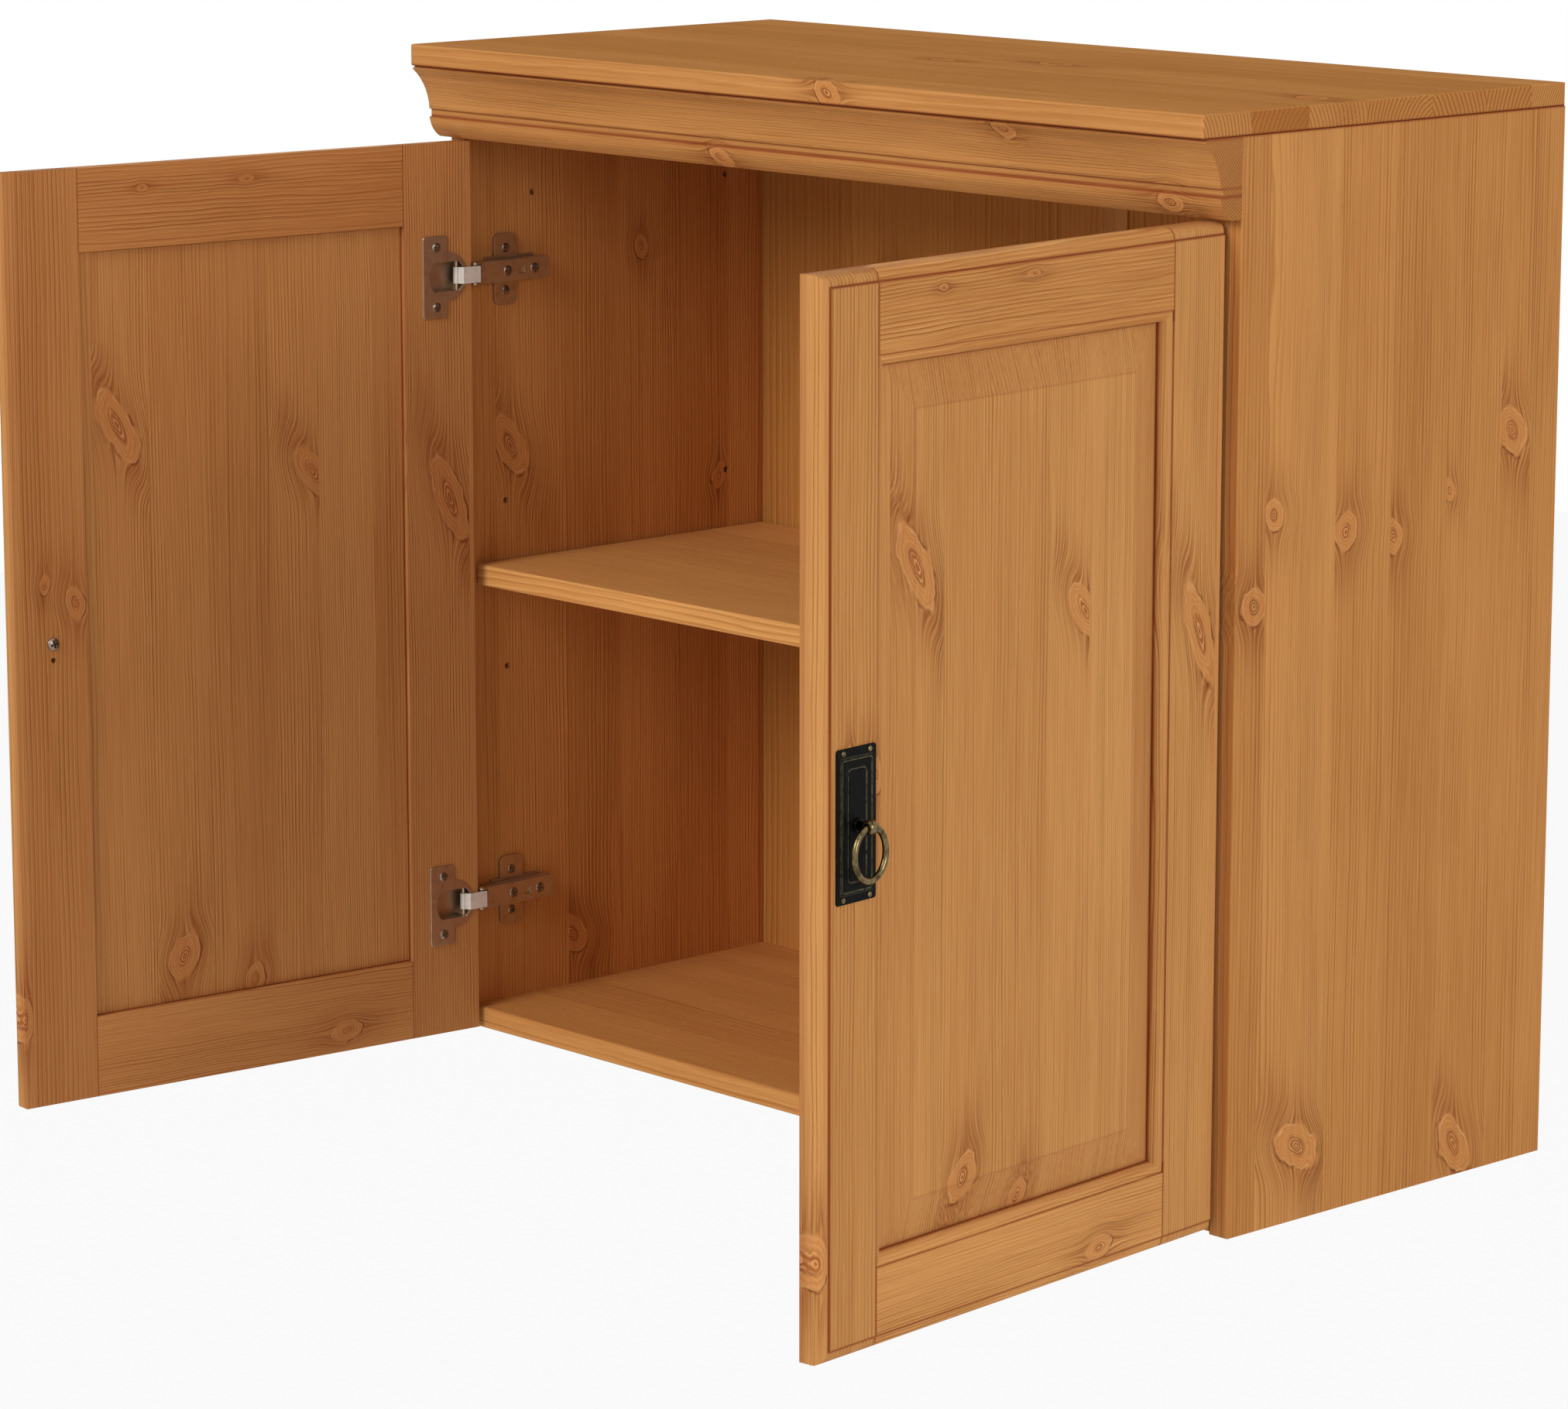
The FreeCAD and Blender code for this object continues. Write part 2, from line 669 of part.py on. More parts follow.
def handle_rivets():
    """Four round-headed pins at the plate's corners."""
    outer = -door_thickness - plate_thickness
    rivets = []
    for su in (-1, 1):
        for sw in (-1, 1):
            u = handle_u + su * (plate_width / 2 - rivet_side_inset)
            w = handle_w + sw * (plate_height / 2 - rivet_end_inset)
            head = rod((u, outer, w), (0, -1, 0), rivet_head, rivet_head_radius)
            head = eased(head, rivet_head * 0.8, lambda e: abs(middle(e).y - outer + rivet_head) < 1e-6)
            rivets.append(joined([head, rod((u, outer, w), (0, 1, 0), rivet_length, rivet_shank_radius)]))
    return rivets


def handle_post():
    """Turned post through the plate, with the rounded eye that carries the ring."""
    outer = -door_thickness - plate_thickness - tier_rise
    eye_at = -door_thickness - ring_standoff
    rosette = rod((handle_u, outer, handle_w), (0, -1, 0), rosette_height, rosette_radius)
    rosette = eased(rosette, rosette_height * 0.6, lambda e: abs(middle(e).y - outer + rosette_height) < 1e-6)
    neck = rod((handle_u, outer, handle_w), (0, -1, 0), outer - eye_at, post_radius)
    shank_length = post_shank_reach - door_thickness - outer
    shank = rod((handle_u, outer, handle_w), (0, 1, 0), shank_length, post_shank_radius)
    eye = rod((handle_u - eye_length / 2, eye_at, handle_w), (1, 0, 0), eye_length, eye_radius)
    eye = eye.common(Part.makeSphere(eye_ball, V(handle_u, eye_at, handle_w)))
    post = joined([rosette, neck, shank, eye])
    bore = ring_wire / 2 + eye_play
    post = post.cut(rod((handle_u - eye_length, eye_at, handle_w), (1, 0, 0), 2 * eye_length, bore))
    return post.cut(rod((handle_u, 0, handle_w), (0, -1, 0), door_thickness, back_screw_radius))


def handle_ring():
    """Oval ring hanging from the post's eye."""
    eye_at = -door_thickness - ring_standoff
    across = ring_width / 2 - ring_wire / 2
    tall = ring_height / 2 - ring_wire / 2
    centre = V(handle_u, eye_at, handle_w - tall)
    if tall >= across:
        oval = Part.Ellipse(centre + V(0, 0, tall), centre + V(across, 0, 0), centre)
    else:
        oval = Part.Ellipse(centre + V(across, 0, 0), centre + V(0, 0, tall), centre)
    path = Part.Wire([oval.toShape()])
    start = path.Edges[0].valueAt(0)
    way = path.Edges[0].tangentAt(0)
    section = Part.Wire([Part.makeCircle(ring_wire / 2, start, way)])
    return path.makePipeShell([section], True, True)


def write(name, shape):
    """One node to its own file."""
    solid = Part.makeCompound(shape) if isinstance(shape, list) else shape
    solid.exportStep("parts/%s.step" % name)


def both(name, shape):
    """A left-hand node and its right-hand twin."""
    write("left_" + name, shape)
    write("right_" + name, [mirrored(s) for s in shape] if isinstance(shape, list) else mirrored(shape))


os.makedirs("parts", exist_ok=True)

# Carcass
left_dowels = carcass_dowels()
dowels = left_dowels + [mirrored(d) for d in left_dowels]
nails = back_nails()
side = side_panel().cut(Part.makeCompound(left_dowels))
both("side_panel", side)
write("carcass_dowels", dowels)
write("bottom_panel", bottom_panel().cut(Part.makeCompound(dowels + nails)))
write("top_board", top_board().cut(Part.makeCompound(dowels)))
write("cornice_moulding", cornice().cut(Part.makeCompound(dowels)))
write("hanging_rail", hanging_rail().cut(Part.makeCompound(dowels)))
write("shelf", shelf())
write("shelf_pins", shelf_pins())
strip = back_joint_strip()
left_back = back_panel().cut(Part.makeCompound(nails))
write("back_panel_left", left_back)
write("back_panel_right", mirrored(left_back))
write("back_joint_strip", strip)
write("back_panel_nails", nails)

# Hinges
small_screw = cross_screw(screw_head_radius, screw_shank_radius, screw_length, screw_head)
adjust_screw = cross_screw(arm_adjust_head_radius, screw_shank_radius, screw_length - arm_sheet, screw_head)
fixing_screw = cross_screw(arm_fixing_head_radius, screw_shank_radius, screw_length - arm_sheet, screw_head)
arm_pin, cup_pin_open, link_swing = pivot_points()
mount_screws = []
arm_screws = []
arm_pins = []
cup_screws = []
cup_pins = []
for level, w in hinge_heights.items():
    z = door_low + w
    both(level + "_hinge_mount", hinge_plan(hinge_mount(z)))
    both(level + "_hinge_arm", hinge_plan(hinge_arm(z)))
    both(level + "_hinge_link", hinge_plan(hinge_link(z)))
    both(level + "_hinge_cup", door_place(hinge_cup(w)))
    for sign in (-1, 1):
        place = (board + mount_base, front_row, z + sign * mount_screw_spacing / 2)
        mount_screws.append(hinge_plan(turned_screw(small_screw, place, (1, 0, 0))))
        place = (cup_screw_row, cup_plate, w + sign * cup_screw_spacing / 2)
        cup_screws.append(door_place(turned_screw(small_screw, place, (0, 1, 0))))
    for y, screw in ((arm_adjust_screw, adjust_screw), (arm_fixing_screw, fixing_screw)):
        arm_screws.append(hinge_plan(turned_screw(screw, (arm_top, y, z), (1, 0, 0))))
    pin_length = arm_height + 2 * arm_pin_proud
    pin = rod((arm_pin.x, arm_pin.y, z - pin_length / 2), (0, 0, 1), pin_length, hinge_pin_radius)
    arm_pins.append(hinge_plan(pin))
    cup_pins.append(door_place(cup_pin(w)))
both("hinge_mount_screws", mount_screws)
both("hinge_arm_screws", arm_screws)
both("hinge_arm_pins", arm_pins)
both("hinge_cup_screws", cup_screws)
both("hinge_cup_pins", cup_pins)

# Doors and their handles
for name, piece in door_pieces().items():
    both("door_" + name, door_place(piece))
both("handle_plate", door_place(handle_plate()))
both("handle_rivets", [door_place(r) for r in handle_rivets()])
both("handle_post", door_place(handle_post()))
both("handle_ring", door_place(handle_ring()))
handle_screw = cross_screw(back_screw_head_radius, back_screw_radius, door_thickness - 4, back_screw_head)
both("handle_screw", door_place(turned_screw(handle_screw, (handle_u, 0, handle_w), (0, 1, 0))))
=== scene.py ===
import math

import bmesh
import bpy
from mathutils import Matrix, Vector


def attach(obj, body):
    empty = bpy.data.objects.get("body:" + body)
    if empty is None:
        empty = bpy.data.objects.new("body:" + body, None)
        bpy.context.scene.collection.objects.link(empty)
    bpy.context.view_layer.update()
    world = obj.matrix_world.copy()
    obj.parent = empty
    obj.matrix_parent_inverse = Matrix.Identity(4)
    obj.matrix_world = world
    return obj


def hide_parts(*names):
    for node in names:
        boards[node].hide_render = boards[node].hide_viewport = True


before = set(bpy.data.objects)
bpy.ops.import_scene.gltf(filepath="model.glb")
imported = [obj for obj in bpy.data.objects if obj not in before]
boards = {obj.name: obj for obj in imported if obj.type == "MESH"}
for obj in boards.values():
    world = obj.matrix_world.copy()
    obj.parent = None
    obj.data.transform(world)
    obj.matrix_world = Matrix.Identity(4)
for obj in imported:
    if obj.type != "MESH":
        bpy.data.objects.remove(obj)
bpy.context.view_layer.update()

# Side panels
# Two upright boards glued up from solid pine staves, planed, stained honey and varnished satin.
# Dowels hold them to the bottom and the top, and their front edges are eased with sandpaper.


def tint(red, green, blue):
    """A stain or metal colour as the eye reads it, turned into shader values."""
    def channel(value):
        value /= 255
        return value / 12.92 if value <= 0.04045 else ((value + 0.055) / 1.055) ** 2.4
    return channel(red), channel(green), channel(blue), 1.0


def feed(tree, socket, value):
    """Links a socket to another one, or sets its value."""
    if isinstance(value, bpy.types.NodeSocket):
        tree.links.new(value, socket)
    else:
        socket.default_value = value


def add(tree, kind, feeds=(), **settings):
    """A new node with its settings and what feeds it."""
    made = tree.nodes.new(kind)
    for name, value in settings.items():
        setattr(made, name, value)
    for socket, value in dict(feeds).items():
        feed(tree, made.inputs[socket], value)
    return made


def calc(tree, operation, *values):
    """One sum."""
    made = add(tree, "ShaderNodeMath", operation=operation)
    for socket, value in zip(made.inputs, values):
        feed(tree, socket, value)
    return made.outputs[0]


def rise(tree, value, low, high):
    """A soft step from 0 at low to 1 at high."""
    return add(tree, "ShaderNodeMapRange", {"Value": value, "From Min": low, "From Max": high},
               interpolation_type="SMOOTHSTEP").outputs["Result"]


def bell(tree, value, centre, width):
    """A soft line of that half width around centre."""
    off = calc(tree, "DIVIDE", calc(tree, "SUBTRACT", value, centre), width)
    return calc(tree, "EXPONENT", calc(tree, "MULTIPLY", calc(tree, "MULTIPLY", off, off), -1.0))


def speckle(tree, vector, scale, detail=2.0):
    """Noise, stretched by a scale for each direction, in cycles per millimetre."""
    sized = add(tree, "ShaderNodeVectorMath", {0: vector, 1: scale}, operation="MULTIPLY")
    return add(tree, "ShaderNodeTexNoise",
               {"Vector": sized.outputs[0], "Scale": 1.0, "Detail": detail}).outputs["Fac"]


def stain_over(tree, amount, under, over):
    """One colour laid over another."""
    return add(tree, "ShaderNodeMix", {0: amount, 6: under, 7: over},
               data_type="RGBA", clamp_factor=True).outputs[2]


def group(name, takes, gives):
    """An empty shader group with named sockets, and its two ends."""
    tree = bpy.data.node_groups.new(name, "ShaderNodeTree")
    for way, sockets in (("INPUT", takes), ("OUTPUT", gives)):
        for label, kind in sockets:
            tree.interface.new_socket(label, in_out=way, socket_type="NodeSocket" + kind)
    return tree, add(tree, "NodeGroupInput").outputs, add(tree, "NodeGroupOutput").inputs


def knot_figure():
    """A knot that runs through one stave: it pushes the grain aside and leaves its marks there.

    Board is across, depth and along the grain in millimetres. Marks are edge, halo and body.
    Cut Low and Cut High are the glued joints that the knot stops at.
    """
    tree, takes, gives = group(
        "pine_knot",
        [("Board", "Vector"), ("Marks", "Vector"), ("Rings", "Float"), ("Eye", "Float"),
         ("Uneven", "Float"), ("Bark", "Float"), ("Across", "Float"), ("Along", "Float"),
         ("Half Width", "Float"), ("Half Length", "Float"), ("Lean", "Float"),
         ("Cut Low", "Float"), ("Cut High", "Float")],
        [("Board", "Vector"), ("Marks", "Vector"), ("Rings", "Float"), ("Eye", "Float")])
    axes = add(tree, "ShaderNodeSeparateXYZ", {0: takes["Board"]}).outputs
    off = calc(tree, "SUBTRACT", axes[0], takes["Across"])
    along = calc(tree, "SUBTRACT", axes[2], takes["Along"])
    in_stave = calc(tree, "MULTIPLY", calc(tree, "GREATER_THAN", axes[0], takes["Cut Low"]),
                    calc(tree, "LESS_THAN", axes[0], takes["Cut High"]))
    leant = calc(tree, "MULTIPLY_ADD", along, takes["Lean"], off)
    wide = calc(tree, "DIVIDE", leant, takes["Half Width"])
    tall = calc(tree, "DIVIDE", along, takes["Half Length"])
    wide_square = calc(tree, "MULTIPLY", wide, wide)
    tall_square = calc(tree, "MULTIPLY", tall, tall)
    oval = calc(tree, "SQRT", calc(tree, "ADD", wide_square, tall_square))
    almond = calc(tree, "ADD", calc(tree, "SQRT", calc(tree, "ADD", wide_square, 0.03)), tall_square)
    even = calc(tree, "ADD", calc(tree, "MULTIPLY", oval, 0.55), calc(tree, "MULTIPLY", almond, 0.45))
    reach = calc(tree, "MULTIPLY", even, calc(tree, "MULTIPLY_ADD", takes["Uneven"], 0.8, 0.6))
    body = calc(tree, "MULTIPLY", calc(tree, "SUBTRACT", 1.0, rise(tree, reach, 0.82, 1.02)), in_stave)
    eye = calc(tree, "SUBTRACT", 1.0, rise(tree, reach, 0.2, 0.42))
    lee = rise(tree, calc(tree, "ADD", wide, tall), 1.0, -0.7)
    rim = calc(tree, "MULTIPLY", bell(tree, reach, 0.97, 0.08), rise(tree, takes["Bark"], 0.36, 0.6))
    rim = calc(tree, "MULTIPLY", rim, calc(tree, "MULTIPLY_ADD", lee, 0.75, 0.25))
    heart = calc(tree, "MULTIPLY", bell(tree, reach, 0.34, 0.07), rise(tree, takes["Uneven"], 0.4, 0.6))
    edge = calc(tree, "MAXIMUM", rim, calc(tree, "MULTIPLY", heart, 0.6))
    flare = calc(tree, "MULTIPLY", bell(tree, wide, 0.0, 1.3), bell(tree, tall, 0.0, 2.3))
    ends = calc(tree, "MULTIPLY", flare, rise(tree, reach, 0.7, 1.2))
    turns = calc(tree, "MULTIPLY", calc(tree, "POWER", reach, 0.65),
                 calc(tree, "MULTIPLY_ADD", takes["Half Width"], 2.4, 14.0))
    turns = calc(tree, "MULTIPLY_ADD", takes["Bark"], 14.0, turns)
    swirl = calc(tree, "COSINE", turns)
    lines = calc(tree, "MULTIPLY_ADD", rise(tree, swirl, 0.45, 1.0), 0.9,
                 calc(tree, "MULTIPLY", rise(tree, swirl, -0.3, -1.0), -1.0))
    lines = calc(tree, "MULTIPLY", lines, calc(tree, "MULTIPLY_ADD", eye, 0.75, 0.22))
    # Painted highlight: a pale line just inside the knot's rim, as if a raised edge caught the light.
    painted_rim_highlight = calc(tree, "MULTIPLY", bell(tree, reach, 0.87, 0.05), rise(tree, takes["Uneven"], 0.38, 0.55))
    lines = calc(tree, "MULTIPLY_ADD", painted_rim_highlight, -0.8, lines)
    lines = calc(tree, "MULTIPLY", calc(tree, "MULTIPLY", lines, body), rise(tree, takes["Bark"], 0.2, 0.55))
    squeeze = calc(tree, "MULTIPLY", calc(tree, "MULTIPLY", bell(tree, even, 0.0, 1.5), 0.86), in_stave)
    bent = calc(tree, "MULTIPLY_ADD", off, calc(tree, "SUBTRACT", 1.0, squeeze), takes["Across"])
    marks = add(tree, "ShaderNodeCombineXYZ", {0: calc(tree, "MULTIPLY", edge, in_stave),
                                               1: calc(tree, "MULTIPLY", ends, in_stave), 2: body}).outputs[0]
    most = add(tree, "ShaderNodeVectorMath", {0: marks, 1: takes["Marks"]}, operation="MAXIMUM").outputs[0]
    feed(tree, gives["Board"], add(tree, "ShaderNodeCombineXYZ", {0: bent, 1: axes[1], 2: axes[2]}).outputs[0])
    feed(tree, gives["Marks"], most)
    feed(tree, gives["Eye"], calc(tree, "MAXIMUM", takes["Eye"], calc(tree, "MULTIPLY", eye, in_stave)))
    feed(tree, gives["Rings"], calc(tree, "ADD", takes["Rings"], lines))
    return tree


def pine_figure():
    """Growth rings cut through by the board's faces, fibres and the knots' marks.

    Stave counts the glued staves, and each one has its own pith, ring width and tone.
    """
    tree, takes, gives = group(
        "pine_figure",
        [("Board", "Vector"), ("Marks", "Vector"), ("Rings", "Float"), ("Eye", "Float"),
         ("Stave", "Float"), ("Middle", "Float"), ("Pitch", "Float"), ("Wave", "Float"), ("Pith", "Float"),
         ("End", "Float"), ("Early", "Color"), ("Late", "Color"), ("Stain", "Color")],
        [("Color", "Color"), ("Rough", "Float"), ("Height", "Float")])
    axes = add(tree, "ShaderNodeSeparateXYZ", {0: takes["Board"]}).outputs
    lot = add(tree, "ShaderNodeTexWhiteNoise", {"W": takes["Stave"]}, noise_dimensions="1D").outputs["Color"]
    lot = add(tree, "ShaderNodeSeparateColor", {0: lot}).outputs
    along = calc(tree, "MULTIPLY_ADD", takes["Stave"], 317.0, axes[2])
    timber = add(tree, "ShaderNodeCombineXYZ", {0: axes[0], 1: axes[1], 2: along}).outputs[0]
    sway = calc(tree, "SUBTRACT", speckle(tree, timber, (0.014, 0.014, 0.0032), 1.0), 0.5)
    ripple = calc(tree, "SUBTRACT", speckle(tree, timber, (0.07, 0.07, 0.014), 1.0), 0.5)
    from_middle = calc(tree, "SUBTRACT", axes[0], takes["Middle"])
    sided = calc(tree, "SIGN", calc(tree, "SUBTRACT", lot[1], 0.5))
    beside = calc(tree, "MULTIPLY", sided, calc(tree, "MULTIPLY_ADD", lot[0], 80.0, 42.0))
    pith_across = calc(tree, "MULTIPLY_ADD", beside, takes["Pith"], from_middle)
    below = calc(tree, "MULTIPLY", calc(tree, "MULTIPLY_ADD", lot[2], 50.0, 24.0), takes["Pith"])
    pith_down = calc(tree, "ADD", axes[1], below)
    trunk = calc(tree, "SQRT", calc(tree, "ADD", calc(tree, "MULTIPLY", pith_across, pith_across),
                                    calc(tree, "MULTIPLY", pith_down, pith_down)))
    trunk = calc(tree, "MULTIPLY_ADD", sway, calc(tree, "MULTIPLY", takes["Wave"], 7.0), trunk)
    trunk = calc(tree, "MULTIPLY_ADD", ripple, calc(tree, "MULTIPLY", takes["Wave"], 1.8), trunk)
    pitch = calc(tree, "MULTIPLY", takes["Pitch"], calc(tree, "MULTIPLY_ADD", lot[0], 0.7, 0.65))
    years = calc(tree, "DIVIDE", trunk, pitch)
    year = calc(tree, "FRACT", years)
    own = add(tree, "ShaderNodeCombineXYZ", {0: calc(tree, "FLOOR", years), 1: takes["Stave"]}).outputs[0]
    own = add(tree, "ShaderNodeTexWhiteNoise", {"Vector": own}, noise_dimensions="2D").outputs["Value"]
    strong = rise(tree, speckle(tree, timber, (0.03, 0.03, 0.004), 2.0), 0.32, 0.68)
    strong = calc(tree, "MULTIPLY", calc(tree, "MULTIPLY_ADD", strong, 0.6, 0.4),
                  calc(tree, "MULTIPLY_ADD", own, 1.1, 0.15))
    strong = calc(tree, "MAXIMUM", strong, takes["End"])
    late = calc(tree, "SUBTRACT", rise(tree, year, 0.5, 0.84), rise(tree, year, 0.84, 0.95))
    late = calc(tree, "MULTIPLY", late, strong)
    # Painted highlight: a pale line just after each dark late-wood line, as if the grain's relief caught the
    # light.
    pale = calc(tree, "MULTIPLY", bell(tree, year, 0.1, 0.1), strong)
    marks = add(tree, "ShaderNodeSeparateXYZ", {0: takes["Marks"]}).outputs
    calm = calc(tree, "MULTIPLY_ADD", marks[2], -0.8, 1.0)
    late, pale = calc(tree, "MULTIPLY", late, calm), calc(tree, "MULTIPLY", pale, calm)
    fibre = calc(tree, "SUBTRACT", speckle(tree, timber, (0.9, 0.9, 0.016), 3.0), 0.5)
    silk = calc(tree, "SUBTRACT", speckle(tree, timber, (2.6, 2.6, 0.04), 1.0), 0.5)
    fleck = rise(tree, silk, 0.14, 0.3)
    cloud = calc(tree, "SUBTRACT", speckle(tree, timber, (0.024, 0.024, 0.004), 1.0), 0.5)
    tone = calc(tree, "MULTIPLY_ADD", late, calc(tree, "MULTIPLY_ADD", takes["End"], 0.46, 0.6), 0.36)
    for part, share in ((pale, -0.75), (fibre, 0.95), (fleck, -0.85), (cloud, 0.5),
                        (calc(tree, "SUBTRACT", lot[0], 0.5), 0.42)):
        tone = calc(tree, "MULTIPLY_ADD", part, share, tone)
    tone = calc(tree, "MULTIPLY_ADD", calc(tree, "SUBTRACT", lot[2], 0.5),
                calc(tree, "MULTIPLY", takes["End"], 0.9), tone)
    knot_brown, eye_brown = tint(198, 128, 70), tint(170, 90, 42)
    ring_pale, rim_dark = tint(232, 178, 118), tint(116, 54, 24)
    colour = stain_over(tree, tone, takes["Early"], takes["Late"])
    feather = calc(tree, "MULTIPLY", marks[1], calc(tree, "MULTIPLY_ADD", fibre, 3.0, 0.6))
    colour = stain_over(tree, calc(tree, "MULTIPLY", feather, 0.9), colour, takes["Stain"])
    colour = stain_over(tree, calc(tree, "MULTIPLY", marks[2], 0.5), colour, knot_brown)
    colour = stain_over(tree, calc(tree, "MULTIPLY", takes["Eye"], 0.45), colour, eye_brown)
    colour = stain_over(tree, calc(tree, "MULTIPLY", takes["Rings"], 0.7), colour, takes["Stain"])
    # Pale knot rings; they also carry the painted highlight just inside each knot's rim.
    colour = stain_over(tree, calc(tree, "MULTIPLY", takes["Rings"], -0.75), colour, ring_pale)
    colour = stain_over(tree, calc(tree, "MULTIPLY", marks[0], 0.8), colour, rim_dark)
    rough = calc(tree, "MULTIPLY_ADD", fibre, 0.22, calc(tree, "MULTIPLY_ADD", late, -0.05, 0.56))
    height = calc(tree, "MULTIPLY_ADD", fibre, 0.5, calc(tree, "MULTIPLY", late, -0.6))
    for part, share in ((pale, 0.6), (fleck, 0.3), (takes["Rings"], -0.8), (marks[0], -1.2)):
        height = calc(tree, "MULTIPLY_ADD", part, share, height)
    for label, socket in (("Color", colour), ("Rough", rough), ("Height", height)):
        feed(tree, gives[label], socket)
    return tree


knot_tree = knot_figure()
figure_tree = pine_figure()


def local_axes(tree, place):
    """A piece's own axes in millimetres, from its corner, its turn in degrees and its mirror side."""
    corner, turn, side = place
    coords = add(tree, "ShaderNodeTexCoord").outputs["Object"]
    own = add(tree, "ShaderNodeMapping", {
        "Vector": coords, "Location": corner, "Rotation": (0, 0, math.radians(turn)),
        "Scale": (0.001 * side, 0.001, 0.001)}, vector_type="TEXTURE").outputs[0]
    return add(tree, "ShaderNodeSeparateXYZ", {0: own}).outputs


def pine_board(name, order, knots=(), seed=0.0, joints=(), pitch=2.5, wave=1.0, edge_knots=(),
               pith=1.0, gloss=0.04, face=0.0, place=((0, 0, 0), 0, 1), seams_and_shade=None,
               early=(202, 142, 82), late=(164, 103, 50), stain=(136, 70, 30)):
    """Stained pine for one board. Order names the piece's axes across, through and along the grain.

    Face is where the board lies on its through axis. Joints are the glued lines between staves. A knot
    is its place across and along, its half width and half length and its lean; the glued joints on
    either side of it cut it off. An edge knot shows on the board's edge: its depth, its place along,
    its half width and half length, its lean, and how far across it runs in. Pith is how far off the
    trunk's middle lies, and a marking function lays red-brown where stain has pooled and, on the
    doors, painted shade over the back face.
    """
    material = bpy.data.materials.new(name)
    material.use_nodes = True
    tree = material.node_tree
    axes = local_axes(tree, place)
    across_board, through = axes[order[0]], calc(tree, "SUBTRACT", axes[order[1]], face)
    line = add(tree, "ShaderNodeCombineXYZ", {0: across_board, 1: through, 2: axes[order[2]]}).outputs[0]
    outer_stave, ragged, out_of_reach = 60.0, 14.0, 1e4
    edges = [joints[0] - outer_stave, *joints, joints[-1] + outer_stave] if joints else [0.0, 0.0]
    middles = [(low + high) / 2 for low, high in zip(edges, edges[1:])]
    stave, middle = seed, middles[0]
    for joint, before, after in zip(joints, middles, middles[1:]):
        past = calc(tree, "GREATER_THAN", across_board, float(joint))
        stave = calc(tree, "ADD", stave, past)
        middle = calc(tree, "MULTIPLY_ADD", past, after - before, middle)
    marks, rings, eye = (0.0, 0.0, 0.0), 0.0, 0.0
    if knots or edge_knots:
        uneven = speckle(tree, line, (0.1, 0.1, 0.06))
        bark = speckle(tree, line, (0.12, 0.12, 0.06), 3.0)

    def set_knot(board_line, across, along, half_width, half_length, lean, low, high):
        knot = add(tree, "ShaderNodeGroup", node_tree=knot_tree)
        for label, value in (("Board", board_line), ("Marks", marks), ("Rings", rings), ("Eye", eye),
                             ("Uneven", uneven), ("Bark", bark), ("Across", across), ("Along", along),
                             ("Half Width", half_width), ("Half Length", half_length), ("Lean", lean),
                             ("Cut Low", low), ("Cut High", high)):
            feed(tree, knot.inputs[label], value)
        return knot.outputs

    def swapped(vector):
        parts = add(tree, "ShaderNodeSeparateXYZ", {0: vector}).outputs
        return add(tree, "ShaderNodeCombineXYZ", {0: parts[1], 1: parts[0], 2: parts[2]}).outputs[0]

    for across, along, half_width, half_length, lean in knots:
        low = max([joint for joint in joints if joint <= across], default=-out_of_reach)
        high = min([joint for joint in joints if joint > across], default=out_of_reach)
        line, marks, rings, eye = set_knot(line, across, along, half_width, half_length, lean, low, high)
    for depth, along, half_width, half_length, lean, run_in in edge_knots:
        far = calc(tree, "GREATER_THAN", calc(tree, "MULTIPLY_ADD", uneven, -ragged, across_board),
                   run_in - ragged / 2)
        along = calc(tree, "MULTIPLY_ADD", far, out_of_reach, along)
        line, marks, rings, eye = set_knot(swapped(line), depth, along, half_width, half_length, lean,
                                           -out_of_reach, out_of_reach)
        line = swapped(line)
    facing = add(tree, "ShaderNodeTexCoord").outputs["Normal"]
    facing = add(tree, "ShaderNodeMapping", {"Vector": facing, "Rotation": (0, 0, math.radians(-place[1]))},
                 vector_type="VECTOR").outputs[0]
    end = calc(tree, "ABSOLUTE", add(tree, "ShaderNodeSeparateXYZ", {0: facing}).outputs[order[2]])
    end = rise(tree, end, 0.6, 0.9)
    figure = add(tree, "ShaderNodeGroup", node_tree=figure_tree)
    for label, value in (("Board", line), ("Marks", marks), ("Rings", rings), ("Eye", eye),
                         ("Stave", stave), ("Middle", middle), ("Pitch", pitch), ("Wave", wave),
                         ("Pith", pith), ("End", end), ("Early", tint(*early)), ("Late", tint(*late)),
                         ("Stain", tint(*stain))):
        feed(tree, figure.inputs[label], value)
    colour = figure.outputs["Color"]
    colour = stain_over(tree, calc(tree, "MULTIPLY", end, 0.22), colour, tint(*stain))
    height = figure.outputs["Height"]
    if seams_and_shade:
        # Red-brown where stain has pooled, and on the doors painted shade over the back face.
        darkening = seams_and_shade(tree, axes)
        red_brown = tint(140, 60, 29)
        colour = stain_over(tree, calc(tree, "MULTIPLY", darkening, 0.85), colour, red_brown)
        height = calc(tree, "MULTIPLY_ADD", darkening, -0.8, height)
    shader = tree.nodes["Principled BSDF"]
    feed(tree, shader.inputs["Base Color"], colour)
    feed(tree, shader.inputs["Roughness"], figure.outputs["Rough"])
    shader.inputs["Specular IOR Level"].default_value = gloss
    bump = add(tree, "ShaderNodeBump", {"Strength": 0.8, "Distance": 0.0006, "Height": height})
    feed(tree, shader.inputs["Normal"], bump.outputs[0])
    return material


def dress(node, material):
    """Gives a CAD piece its finish."""
    piece = boards[node]
    piece.data.materials.clear()
    piece.data.materials.append(material)


def top_line(tree, axes):
    """Stain caught in the joint under the top board."""
    return bell(tree, axes[2], 30.2, 1.0)


